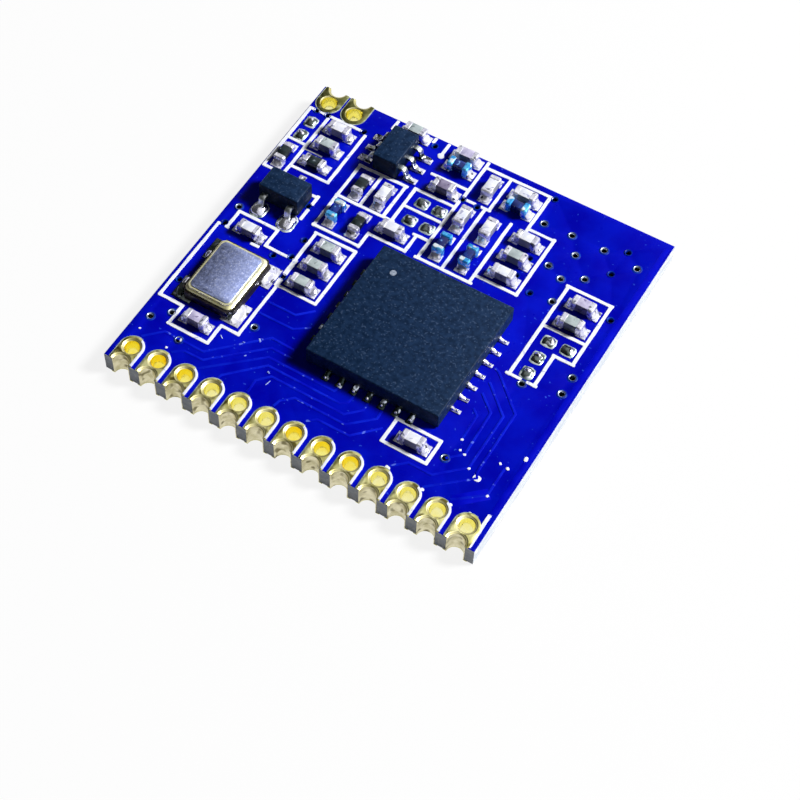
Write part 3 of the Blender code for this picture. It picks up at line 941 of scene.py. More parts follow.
@dataclass
class Pads:
    """The plated pads: a land above and below, a hole, and half a hole in the board's edge."""

    hole_radius: float = 0.33
    antenna_hole_radius: float = 0.365
    bore_space: float = 0.37
    edge_radius: float = 0.37
    setback: float = 0.85
    antenna_setback: float = 0.78
    antenna_offset: float = 0.08
    plating: float = 0.035
    clearance: float = 0.01
    land: float = 0.04
    land_edge: float = 0.022
    lip: float = 0.1
    antenna_lip: float = 0.045
    edge_lip: float = 0.1
    lip_depth: float = 0.062
    lip_slopes: Point = (0.7, 1.3)
    lip_bury: float = 0.6
    bore_taper: float = 0.08
    # Spans along X whose holes take the paler bore gold, a painted light.
    bores_painted_paler: tuple[Point, ...] = ((-4.6, -0.6), (3.3, 9.0))
    steps: int = 28

    def places(self) -> list[PadPlace]:
        """Reads each pad's place from its node.

        Returns:
            The places, the front row first.
        """
        antenna = (self.antenna_setback, self.antenna_offset, self.antenna_hole_radius, self.antenna_lip)
        rows = (
            ("castellated_pad_", -1, (self.setback, 0.0, self.hole_radius, self.lip)),
            ("antenna_pad_", 1, antenna),
        )
        found = []
        for stem, side, own in rows:
            for node in nodes_named(stem):
                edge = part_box(node)[0 if side < 0 else 1].y / MILLIMETRE
                hole = Vector((centre_of(node).x, edge - side * own[0], 0))
                found.append(PadPlace(node, hole, side, size_of(node).x, *own))
        return found

    def half_hole(self, pad: PadPlace, radius: float) -> Loop:
        """The arc of a pad's half hole, from its left end to its right end.

        Args:
            pad: The pad.
            radius: The arc's radius.

        Returns:
            Its points, in the pad's own frame.
        """
        dip = math.degrees(math.asin(pad.offset / radius))
        return arc(pad.half_hole_middle(), radius, 180 - dip, dip, self.steps // 2)

    def land_outline(self, pad: PadPlace, notch: float) -> Loop:
        """The outline of a pad's land.

        Args:
            pad: The pad.
            notch: The radius of the half hole cut out of it.

        Returns:
            Its points, in the pad's own frame.
        """
        half = pad.width / 2
        sides = [(-half, -pad.setback), *self.half_hole(pad, notch), (half, -pad.setback)]
        return arc((0, 0), half, 0, 180, self.steps) + sides

    def top_land(self, pad: PadPlace, top: float) -> BMesh:
        """A pad's upper land, whose outer rims are rounded.

        Args:
            pad: The pad.
            top: The height of the land's top.

        Returns:
            Its mesh.
        """
        reach, notch = pad.bore + pad.lip, self.edge_radius + self.edge_lip
        bore = circle((0, 0), reach, self.steps)
        mesh = plate(self.land_outline(pad, notch), [bore], top - self.land, top)
        rims = []
        for rim in top_rims(mesh, top):
            middle = (rim.verts[0].co.xy + rim.verts[1].co.xy) / 2
            from_half_hole = (middle - Vector(pad.half_hole_middle())).length - notch
            if min(middle.length - reach, from_half_hole) > self.land_edge:
                rims.append(rim)
        return bevelled(mesh, rims, self.land_edge)

    def lip_ring(self, radius: float, lip: float, top: float) -> BMesh:
        """The flared lip between the top of a land and the wall of a hole.

        Args:
            radius: The hole's radius.
            lip: How far the lip reaches out from the hole.
            top: The height of the land's top.

        Returns:
            Its mesh, about the hole's axis.
        """
        foot, buried = top - self.lip_depth, top - self.land * self.lip_bury
        back = [(radius + self.plating, foot), (radius + self.plating, buried), (radius + lip, buried)]
        front = flare((radius + lip, top), (radius, foot), *self.lip_slopes)
        return turned(front + back, self.steps)

    def half_lip(self, pad: PadPlace, top: float) -> BMesh:
        """The flared lip of a pad's half hole, cut off at the board's edge.

        Args:
            pad: The pad.
            top: The height of the land's top.

        Returns:
            Its mesh, in the pad's own frame.
        """
        mesh = self.lip_ring(self.edge_radius, self.edge_lip, top)
        bmesh.ops.translate(mesh, vec=(*pad.half_hole_middle(), 0), verts=mesh.verts)
        return cut_off(mesh, (0, -pad.setback, 0), (0, -1, 0))

    def barrel(self, radius: float, low: float, high: float) -> BMesh:
        """The plated wall of a full hole, which grows thicker towards its foot.

        Args:
            radius: The hole's radius at its top.
            low: The height of the wall's foot.
            high: The height of its top.

        Returns:
            Its mesh, about the hole's axis.
        """
        outer = self.bore_space + self.plating
        inside = [(radius, high), (radius - self.bore_taper, low)]
        return turned([(outer, low), (outer, high), *inside], self.steps)

    def edge_wall(self, pad: PadPlace, low: float, high: float) -> BMesh:
        """The plated wall of a pad's half hole.

        Args:
            pad: The pad.
            low: The height of the wall's foot.
            high: The height of its top.

        Returns:
            Its mesh.
        """
        outer = self.half_hole(pad, self.edge_radius + self.plating)
        return plate(outer + self.half_hole(pad, self.edge_radius)[::-1], [], low, high)

    def build(self) -> None:
        """Makes each pad as a piece of its own."""
        for pad in self.places():
            top, turn = size_of(pad.node).z, pad.turn()
            draft = Draft(pad.node.replace("pad", "plated_pad"), "gold_plate", [pad.node])
            bore = [circle((0, 0), pad.bore - self.bore_taper, self.steps)]
            # The back row's lands take the darker gold.
            land = GOLD if pad.side < 0 else DARKER_GOLD
            # The back row and the holes in these spans take the paler bore gold: painted light.
            pale = pad.side > 0 or any(low < pad.hole.x < high for low, high in self.bores_painted_paler)
            wall = PALE_BORE_GOLD if pale else BORE_GOLD
            draft.add(self.top_land(pad, top), land, turn)
            draft.add(self.lip_ring(pad.bore, pad.lip, top), LIP_GOLD, turn)
            draft.add(self.half_lip(pad, top), LIP_GOLD, turn)
            draft.add(plate(self.land_outline(pad, self.edge_radius), bore, 0.0, self.land), land, turn)
            overlap = self.land / 2
            draft.add(self.barrel(pad.bore, overlap, top - self.lip_depth), wall, turn)
            draft.add(self.edge_wall(pad, overlap, top - self.lip_depth), EDGE_GOLD, turn)
            draft.finished()


@dataclass
class Board:
    """The laminate between its two masks, with the vias, the covered copper and the print on it."""

    mask: float = 0.03
    mask_overlap: float = 0.01
    mask_inset: float = 0.012
    mask_edge: float = 0.01
    thickness: float = 1.0
    sunk: float = 0.01
    notch_steps: int = 14
    band_edge: float = 0.006
    via_radius: float = 0.1
    via_space: float = 0.02
    via_steps: int = 10
    via_gap: float = 0.07
    via_depth: float = 0.1
    via_wall: float = 0.01
    via_rise: float = 0.006
    via_lip: float = 0.055
    via_lip_step: float = 0.004
    via_foot: float = 0.008
    via_wall_steps: int = 16
    via_collar: float = 0.22
    quiet_collar: float = 0.16
    trace_width: float = 0.105
    trace_height: float = 0.014
    copper_field_height: float = 0.008
    print_height: float = 0.03
    print_width: float = 0.15
    print_edge: float = 0.008
    print_sway: float = 0.02
    print_sway_grain: float = 0.3
    print_cut: float = 0.4
    print_overrun: float = 0.9
    print_corner: float = 0.3
    print_uncut: float = 4
    shortest_run: float = 0.05
    thin_line: tuple[Point, Point] = ((-7.38, 4.92), (-6.57, 4.92))
    thin_line_width: float = 0.07
    speck_corner: float = 0.4
    speck_turn: float = 8.0
    pad_print_top: float = 0.058
    pad_print_reach: float = 0.48
    pad_print_width: float = 0.105
    pad_print_foot: float = 0.04
    pad_print_ends: Point = (70, 66)
    rim_width: float = 0.04
    rim_height: float = 0.03
    rim_lap: float = 0.005
    rim_foot: float = 0.02
    front_rim_start: float = 70
    tinned_vias: tuple[Point, ...] = (
        (3.4, 6.7), (4.7, 6.75), (6.2, 6.75), (7.8, 6.6),
        (5.3, 5.9), (6.2, 5.0), (4.6, 4.85), (5.35, 4.5),
        (5.6, 3.3), (8.05, 0.4), (8.05, -0.5), (6.47, -0.9), (5.6, -5.5), (-4.1, -4.2), (-7.4, -5.35),
        (-8.05, -5.97), (-8.1, 0.73), (-6.38, -6.35),
    )
    quiet_vias: tuple[Point, ...] = (
        (7.0, 5.8), (4.6, 3.2), (8.05, 3.7), (-8.1, -3.8), (-8.15, -0.3), (-4.75, 0.65), (-4.75, -0.38),
        (-5.6, 2.3), (3.17, 8.1), (7.1, 7.17), (-2.67, 8.0), (-4.5, -1.43), (-5.45, -0.7), (-7.59, 7.08),
        (-8.14, 7.08), (-5.73, 7.08), (-0.17, 6.05), (0.55, 6.0), (3.75, 4.75), (3.7, 3.7),
    )
    traces: tuple[tuple[Point, ...], ...] = (
        ((0.4, -4.85), (0.3, -5.13), (-2.8, -5.13), (-4.95, -7.1)),
        ((1.1, -4.9), (1.05, -5.3), (0.8, -5.5), (-2.6, -5.48), (-3.95, -6.85), (-4.0, -7.05)),
        ((1.75, -4.9), (1.75, -5.3), (1.2, -5.86), (-2.2, -5.86), (-2.65, -6.35), (-2.62, -7.0)),
        ((2.4, -4.9), (2.42, -5.35), (1.5, -6.24), (-0.85, -6.23), (-1.3, -6.65), (-1.38, -7.0)),
        ((2.85, -5.6), (1.9, -6.6), (0.45, -6.62), (0.0, -7.0)),
        ((-1.95, -4.7), (-2.95, -4.7), (-5.0, -6.65), (-5.9, -6.68), (-6.3, -7.0)),
        ((-2.1, -4.3), (-3.2, -4.27), (-5.2, -6.3), (-7.1, -6.3), (-7.8, -7.0)),
        ((-2.4, -2.2), (-3.0, -2.8), (-4.4, -2.82)),
        ((-2.1, -3.0), (-2.7, -3.45), (-4.4, -3.48)),
        ((5.2, -0.78), (5.45, -0.9), (6.95, -2.3), (6.97, -5.4), (7.1, -5.65), (5.5, -7.1)),
        ((5.35, -1.5), (6.6, -2.65), (6.6, -5.4), (5.55, -6.43), (4.5, -6.43), (3.9, -7.0)),
        ((5.35, -2.1), (6.1, -2.75), (6.17, -4.95), (5.62, -5.5)),
        ((5.4, -2.9), (5.7, -3.15), (5.73, -4.4)),
        ((7.8, -4.7), (7.8, -6.1), (6.7, -7.0)),
    )
    copper_fields: tuple[tuple[tuple[Point, ...], float], ...] = (
        (((7.85, -6.0), (6.8, -7.0)), 0.5),
        (((8.38, -6.7), (8.38, 8.2)), 0.22),
    )
    # White specks, most at the ends and bends of traces, in the print's finish; the faint specks below take
    # a paler blue finish.
    specks: tuple[Mark, ...] = (
        (7.1, -5.65, 0.33, 0.26), (8.3, -3.9, 0.15, 0.22), (5.75, -4.42, 0.12, 0.1),
        (5.93, -4.88, 0.1, 0.1), (6.17, -4.97, 0.12, 0.1), (6.63, -5.43, 0.12, 0.1),
        (7.55, -4.6, 0.1, 0.12), (7.9, -4.65, 0.12, 0.14), (7.83, -6.13, 0.12, 0.1),
        (3.93, -7.06, 0.15, 0.22), (5.57, -7.19, 0.12, 0.14), (6.83, -7.2, 0.12, 0.13),
        (7.63, -7.14, 0.13, 0.1), (-6.3, -6.28, 0.2, 0.09), (-8.08, -6.7, 0.07, 0.1),
        (-6.6, -6.92, 0.1, 0.1), (-2.17, 7.66, 0.3, 0.28),
    )
    faint_specks: tuple[Mark, ...] = (
        (-3.55, -4.63, 0.18, 0.07), (-4.98, -5.3, 0.2, 0.035), (-3.65, -5.57, 0.05, 0.1),
        (-2.4, -5.76, 0.12, 0.07), (-2.15, -6.2, 0.03, 0.26), (-4.05, -5.05, 0.1, 0.05),
    )
    print_lines: tuple[Mark, ...] = (
        (-8.6, 7.08, -5.6, 7.08), (-8.58, 7.08, -8.58, 3.25), (-7.48, 7.0, -7.48, 3.3),
        (-5.57, 7.1, -5.57, 3.85), (-7.4, 3.82, -5.55, 3.82), (-8.6, 5.13, -7.5, 5.13),
        (-8.6, 3.25, -7.85, 3.25), (-4.75, 8.48, -4.75, 7.9), (-2.83, 8.48, -2.83, 7.9),
        (-2.17, 8.48, -2.17, 7.7), (-0.2, 8.48, -0.2, 6.1), (-2.0, 6.6, -0.3, 6.6),
        (-2.2, 5.5, -0.3, 5.5), (-2.18, 5.5, -2.18, 3.5), (-2.05, 4.47, -0.4, 4.47),
        (-1.0, 3.35, -0.3, 3.35), (-0.87, 3.35, -0.87, 2.35), (-2.65, 2.37, -0.87, 2.37),
        (-4.9, 5.4, -2.55, 5.4), (-4.87, 5.4, -4.87, 1.55), (-3.75, 5.35, -3.75, 3.55),
        (-2.6, 5.4, -2.6, 3.5), (-4.9, 3.47, -2.1, 3.47), (-2.65, 2.4, -2.65, 1.55),
        (-4.9, 1.58, -2.65, 1.58), (-4.57, 1.25, -2.6, 1.25), (-4.53, 1.25, -4.53, -1.92),
        (-2.6, 1.25, -2.6, -1.92), (-4.53, -1.92, -2.6, -1.92), (-5.5, 2.95, -5.5, 2.4),
        (-5.5, 2.1, -5.5, 1.55), (-5.75, 2.88, -5.55, 2.88), (-7.95, 0.53, -6.0, 0.53),
        (-7.95, 0.53, -7.95, -0.45),
        (-8.37, -0.45, -7.9, -0.45), (-8.37, -0.45, -8.37, -4.85), (-8.37, -4.85, -7.25, -4.85),
        (-7.22, -4.85, -7.22, -5.87), (-7.25, -5.87, -5.3, -5.87), (-5.3, -5.87, -5.3, -4.85),
        (-5.3, -4.85, -4.45, -4.85), (-4.47, -4.85, -4.47, -0.45), (-6.0, -0.45, -4.5, -0.45),
        (-6.0, 0.53, -6.0, -0.45), (-6.55, -0.65, -6.25, -0.65), (3.0, 6.1, 4.2, 6.1),
        (4.18, 6.15, 4.18, 2.8), (2.2, 2.82, 4.2, 2.82), (2.22, 5.95, 2.22, 2.36),
        (-0.25, 6.05, -0.25, 2.4), (0.9, 6.1, 0.9, 2.36), (-0.35, 2.36, 2.3, 2.36),
        (-0.15, 8.1, 3.05, 8.1), (1.07, 8.1, 1.07, 6.2), (2.95, 8.1, 2.95, 6.0),
        (-0.2, 6.1, 1.1, 6.1),
        (5.75, 4.33, 7.8, 4.33), (5.8, 4.33, 5.8, -0.75), (7.77, 4.33, 7.77, 0.95),
        (5.85, 2.08, 7.7, 2.08), (6.9, 0.95, 7.8, 0.95), (6.93, 0.95, 6.93, -0.75),
        (5.7, -0.73, 7.0, -0.73), (3.1, -4.93, 5.1, -4.93), (3.1, -6.12, 5.1, -6.12),
        (3.1, -4.93, 3.1, -6.12), (5.1, -4.93, 5.1, -6.12), (8.32, -6.85, 8.32, -8.45),
    )
    spare_places: tuple[Triple, ...] = (
        (-8.0, 5.94, 90), (-1.09, 4.94, 0), (-1.09, 3.88, 0), (6.86, 1.45, 0), (6.42, 0.09, 90),
    )
    spare_spacing: float = 0.85
    spare_land: Point = (0.64, 0.56)
    spare_rim: float = 0.06
    spare_rim_height: float = 0.05
    spare_lift: float = 0.11
    spare_bead: Triple = (0.26, 0.34, 0.15)
    spare_bead_lump: float = 0.04
    spare_bead_place: Point = (0.1, 0.04)

    def __post_init__(self) -> None:
        """Reads the board's size from its node."""
        low, high = (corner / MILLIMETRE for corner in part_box("circuit_board"))
        self.width, self.depth = high.x - low.x, high.y - low.y
        self.low = low.z
        self.top = self.low + self.thickness

    def outline(self, inset: float, notch: float, pads: Sequence[PadPlace]) -> Loop:
        """The board's outline, with a notch at each pad.

        Args:
            inset: How far the outline lies inside the board's edge.
            notch: The notches' radius.
            pads: The pads.

        Returns:
            The outline's points.
        """
        right, back = self.width / 2 - inset, self.depth / 2 - inset
        points: Loop = []
        for side in (-1, 1):
            points.append((side * right, side * back))
            row = sorted((pad for pad in pads if pad.side == side), key=lambda pad: -pad.side * pad.hole.x)
            for pad in row:
                bite = math.degrees(math.asin((inset + pad.offset) / notch))
                start, stop = (180 - bite, bite) if side < 0 else (-bite, bite - 180)
                middle = (pad.hole.x, side * (self.depth / 2 + pad.offset))
                points += arc(middle, notch, start, stop, self.notch_steps)
            points.append((-side * right, side * back))
        return points

    def build(self, pads: Pads) -> None:
        """Makes the board's pieces.

        Args:
            pads: The pads that the board makes room for.
        """
        places = pads.places()
        hole = pads.bore_space + pads.plating + pads.clearance
        notch = pads.edge_radius + pads.plating + pads.clearance
        bores = [circle((pad.hole.x, pad.hole.y), hole, pads.steps) for pad in places]
        drill = self.via_radius + self.via_space
        bores += [circle(place, drill, self.via_steps) for place in self.tinned_vias + self.quiet_vias]
        core = Draft("laminate_core", "board_mask", ["circuit_board"])
        lift = self.mask - self.mask_overlap
        outer = self.outline(0.0, notch, places)
        core.add(plate(outer, bores, self.low + lift, self.top - lift), LAMINATE)
        core.finished()
        inner = self.outline(self.mask_inset, notch, places)
        masks = Draft("solder_mask", "board_mask")
        masks.add(plate(inner, bores, self.top - self.mask, self.top, self.mask_edge), MASK)
        masks.add(plate(inner, bores, self.low, self.low + self.mask), MASK)
        masks.finished()
        self.build_vias()
        self.build_traces(places)
        self.build_print(places)
        self.build_spare_lands()

    def build_vias(self) -> None:
        """Makes the collars, lips and plated walls of the vias, some tinned and some masked."""
        draft = Draft("via_rings", "board_mask")
        for x, y in self.tinned_vias:
            self.add_via(draft, at(x, y, 0), self.via_collar, VIA_TIN)
        for x, y in self.quiet_vias:
            self.add_via(draft, at(x, y, 0), self.quiet_collar, VIA_COLLAR)
        draft.finished()

    def add_via(self, draft: Draft, place: Matrix, reach: float, finish: Finish) -> None:
        """Adds one via.

        Args:
            draft: The vias' draft.
            place: The via's axis.
            reach: The radius of the mask's collar round it.
            finish: What its lip is made of.
        """
        radius, wall = self.via_radius, self.via_radius + self.via_wall
        rise, sunk = self.top + self.print_height + self.via_rise, self.top - self.sunk
        lip, foot = radius + self.via_lip, rise - self.via_depth
        under, over = lip - self.via_wall, lip + self.via_wall
        collar = [
            (under, sunk), (under, rise - self.via_lip_step), (over, rise - self.via_rise),
            (reach, self.top + self.via_rise), (reach + self.via_foot, sunk),
        ]
        turn_over = [*knee((lip, rise), (radius, foot)), (wall, foot), (wall, sunk), (lip, sunk)]
        tube = [(radius, self.low), (radius, foot), (wall, foot), (wall, self.low)]
        draft.add(turned(collar, 2 * self.via_steps), VIA_COLLAR, place)
        draft.add(turned(turn_over, self.via_wall_steps), finish, place)
        # The via's wall down the hole takes the near-black solder, a painted shade inside the hole.
        draft.add(turned(tube, self.via_wall_steps), DEEP_SHADE_SOLDER, place)

    def band(self, outline: Loop, height: float, number: int) -> BMesh:
        """A low flat shape on the board, at a level of its own.

        Args:
            outline: The points round it.
            height: How far it stands above the mask.
            number: Which of the shapes on the board it is.

        Returns:
            Its mesh.
        """
        high = self.top + height + level_of(number)
        return plate(outline, [], self.top - self.sunk, high, self.band_edge)

    def build_traces(self, pads: Sequence[PadPlace]) -> None:
        """Makes the copper that shows as a low relief under the mask.

        Args:
            pads: The pads, each of which has a bare rim round its land.
        """
        draft = Draft("covered_traces", "board_mask")
        for number, (route, width) in enumerate(self.copper_fields):
            field_band = self.band(ribbon(route, width), self.copper_field_height, number)
            draft.add(field_band, FAINT_COPPER)
        for number, route in enumerate(self.traces):
            trace = self.band(ribbon(route, self.trace_width), self.trace_height, number)
            draft.add(trace, COVERED_COPPER)
        for pad in pads:
            draft.add(self.band(self.bare_rim(pad), self.rim_height, 0), LAND_RIM, pad.turn())
        draft.finished()

    def bare_rim(self, pad: PadPlace) -> Loop:
        """The outline of the bare rim round a pad's land, which the print leaves free in front.

        Args:
            pad: The pad.

        Returns:
            Its points, in the pad's own frame.
        """
        half, foot = pad.width / 2, self.rim_foot - pad.setback
        outer, inner = half + self.rim_width, half - self.rim_lap
        start = self.front_rim_start if pad.side < 0 else 0
        rim = [*arc((0, 0), outer, start, 180, 24), (-outer, foot)]
        rim += [(-inner, foot), *arc((0, 0), inner, 180, start, 24)]
        return rim if start else [(outer, foot), *rim, (inner, foot)]

    def stroke(
        self, start: Point, stop: Point, width: float, number: int
    ) -> tuple[BMesh, Finish, Matrix]:
        """A printed line with round edges that sway a little.

        Args:
            start: One end.
            stop: The other end.
            width: Its width.
            number: Which of the strokes it is, so that strokes that cross don't coincide.

        Returns:
            Its mesh, its finish and its place, as a draft takes them.
        """
        run = Vector(stop) - Vector(start)
        height, sunk = self.print_height, self.sunk
        shape = block((run.length + width * self.print_overrun, width, height + sunk))
        upright = [
            edge for edge in shape.edges if abs(edge.verts[0].co.z - edge.verts[1].co.z) > height / 2
        ]
        bevelled(shape, upright, width * self.print_corner)
        long_edges = [edge for edge in shape.edges if edge.calc_length() > LONG_SHARE * run.length]
        if run.length > self.print_uncut * width:
            cuts = max(1, int(run.length / self.print_cut))
            bmesh.ops.subdivide_edges(shape, edges=long_edges, cuts=cuts, use_grid_fill=True)
        for point in shape.verts:
            along, side = point.co.x / self.print_sway_grain, math.copysign(2.0, point.co.y)
            point.co.y += self.print_sway * noise.noise(Vector((along, side, 1.7 * number)))
        bevelled(shape, top_rims(shape, (height + sunk) / 2), self.print_edge, 1)
        middle = (Vector(start) + Vector(stop)) / 2
        angle = math.degrees(math.atan2(run.y, run.x))
        rise = (height - sunk) / 2 - level_of(number)
        return shape, PRINT, at(middle.x, middle.y, self.top + rise, angle)

    def runs(self, start: Vector, stop: Vector) -> list[tuple[Vector, Vector]]:
        """The runs of a printed line that are left between the vias it crosses.

        Args:
            start: One end of the line.
            stop: Its other end.

        Returns:
            The ends of each run.
        """
        along, length = (stop - start).normalized(), (stop - start).length
        gap = self.via_radius + self.via_gap
        marks = [0.0]
        vias = sorted(self.tinned_vias + self.quiet_vias, key=lambda place: Vector(place).dot(along))
        for place in vias:
            offset = Vector(place) - start
            if abs(offset.cross(along)) < gap and -gap < offset.dot(along) < length + gap:
                marks += [offset.dot(along) - gap, offset.dot(along) + gap]
        marks.append(length)
        pairs = [pair for pair in zip(marks[::2], marks[1::2]) if pair[1] - pair[0] > self.shortest_run]
        return [(start + along * low, start + along * high) for low, high in pairs]

    def build_print(self, pads: Sequence[PadPlace]) -> None:
        """Makes the white print, outlines round the parts and hooks beside the front pads, and the specks.

        Args:
            pads: The pads.
        """
        draft = Draft("printed_outlines", "board_mask")
        limit = Vector((self.width, self.depth)) / 2 - Vector((self.print_width, self.print_width)) * 0.8
        for number, (x0, y0, x1, y1) in enumerate(self.print_lines):
            start, stop = (
                Vector((max(-limit.x, min(limit.x, x)), max(-limit.y, min(limit.y, y))))
                for x, y in ((x0, y0), (x1, y1))
            )
            for first, last in self.runs(start, stop):
                draft.add(*self.stroke(first, last, self.print_width, number))
        draft.add(*self.stroke(*self.thin_line, self.thin_line_width, len(self.print_lines)))
        specks = [(speck, PRINT) for speck in self.specks]
        specks += [(speck, FAINT_SPECK) for speck in self.faint_specks]
        for number, ((x, y, length, width), finish) in enumerate(specks):
            outline = rounded(length, width, self.speck_corner * min(length, width))
            speck = self.band(outline, self.print_height - self.sunk, number)
            draft.add(speck, finish, at(x, y, 0, self.speck_turn * number))
        front = [pad for pad in pads if pad.side < 0]
        for pad in front[:-1]:
            draft.add(self.band(self.hook(pad), self.pad_print_top, 0), PRINT, pad.turn())
        draft.finished()

    def hook(self, pad: PadPlace) -> Loop:
        """The outline of the printed hook beside a front pad.

        Args:
            pad: The pad.

        Returns:
            Its points, in the pad's own frame.
        """
        outer = self.pad_print_reach + self.pad_print_width / 2
        inner = outer - self.pad_print_width
        foot = self.pad_print_foot - pad.setback
        outer_end, inner_end = self.pad_print_ends
        outside = [(outer, foot), *arc((0, 0), outer, 0, outer_end, 12)]
        return outside + [*arc((0, 0), inner, inner_end, 0, 12), (inner, foot)]

    def build_spare_lands(self) -> None:
        """Makes the solder on the lands of the places that carry no part."""
        draft = Draft("spare_land_solder", "board_mask")
        for x, y, turn in self.spare_places:
            for side in (-1, 1):
                place = at(x, y, self.top, turn) @ at(side * self.spare_spacing / 2, 0, 0)
                length, width = self.spare_land
                rim = SolderPillow(length, width, self.spare_rim_height)
                draft.add(rim.mesh(x + 2 * side), PALE_RIM, place)
                length, width = length - 2 * self.spare_rim, width - 2 * self.spare_rim
                pillow = SolderPillow(length, width, self.spare_lift)
                # The middle of each land's solder takes the dark solder, a painted dark reflection inside
                # its pale rim.
                draft.add(pillow.mesh(x + side), SHADED_SOLDER, place)
                bead = SolderDome(*self.spare_bead, self.spare_bead_lump)
                draft.add(bead.mesh(y - side), BEAD_SOLDER, place @ at(*self.spare_bead_place, 0))
        draft.finished()


@dataclass
class ChipPart:
    """A small part between two tinned ends: a capacitor, a resistor or an inductor."""

    node: str
    piece: str
    slot: str
    body: Finish
    ends: Finish = TERMINAL
    length: float = 1.0
    width: float = 0.5
    terminal: float = 0.27
    proud: float = 0.02
    waist: float = 0.0
    land: float = 0.04
    climb: float = 0.6
    climb_spread: float = 0.15
    # How much of the body's tones its upright faces keep: a painted shade on its walls.
    wall_shade: float = 0.58
    tilt: float = 1.6
    body_edge: float = 0.03
    end_edge: float = 0.05
    end_gap: float = 0.008
    end_cuts: int = 3
    end_lump: float = 0.012
    end_grain: float = 0.12
    land_under: float = 0.18
    land_spare: float = 0.04
    land_rest: float = 0.01
    solder_lap: float = 0.02
    solder_toe: float = 0.07
    solder_lump: float = 0.03

    def build(self) -> None:
        """Makes the part with its ends, lands and solder."""
        centre, size = centre_of(self.node), size_of(self.node)
        seed = centre.x * 1.7 + centre.y * 3.3
        turn = 90 if size.y > size.x else 0
        turn += self.tilt * noise.noise(Vector((seed, 0, 0)))
        place = at(centre.x, centre.y, centre.z, turn)
        overall, height = max(size.x, size.y), size.z - self.land
        draft = Draft(self.piece, self.slot, [self.node])
        core = self.width - 2 * self.waist - 2 * self.proud
        inside = self.length - self.terminal
        slim = block((inside, core, height - 2 * self.proud - self.waist), self.body_edge)
        middle = self.land + height / 2
        # The body's upright faces take a darker copy of its finish, a painted shade.
        draft.add(slim, self.body, place @ at(0, 0, middle), self.body.dimmed(self.wall_shade))
        for side in (-1, 1):
            end = divided((self.terminal, self.width, height - self.end_gap), self.end_cuts, self.end_edge)
            lumpy(end, self.end_lump, self.end_grain, seed + side)
            draft.add(end, self.ends, place @ at(side * inside / 2, 0, middle))
            foot = place @ at(side * self.length / 2, 0, 0, 0 if side > 0 else 180)
            self.add_joint(draft, foot, seed, side, (overall - self.length) / 2, height)
        draft.finished()

    def add_joint(
        self, draft: Draft, place: Matrix, seed: float, side: int, reach: float, height: float
    ) -> None:
        """Adds the land and the solder of one end.

        Args:
            draft: The part's draft.
            place: The foot of the end's face, with X outwards.
            seed: The part's own seed.
            side: Which end it is.
            reach: How far the land reaches past the part's end.
            height: The height of the part's body.
        """
        inner = self.land_under
        land = block((reach + inner, self.width + self.land_spare, self.land), LAND_EDGE)
        draft.add(land, TERMINAL, place @ at((reach - inner) / 2, 0, self.land / 2))
        share = self.climb + self.climb_spread * noise.noise(Vector((seed, side, 4.0)))
        width = self.width + self.land_spare / 2
        wet = reach - self.land_rest
        fillet = SolderFillet(wet, width, height * share, toe=self.solder_toe, lump=self.solder_lump)
        foot = place @ at(-self.solder_lap, 0, self.land / 2)
        draft.add(fillet.mesh(seed + 7 * side), SOLDER, foot)


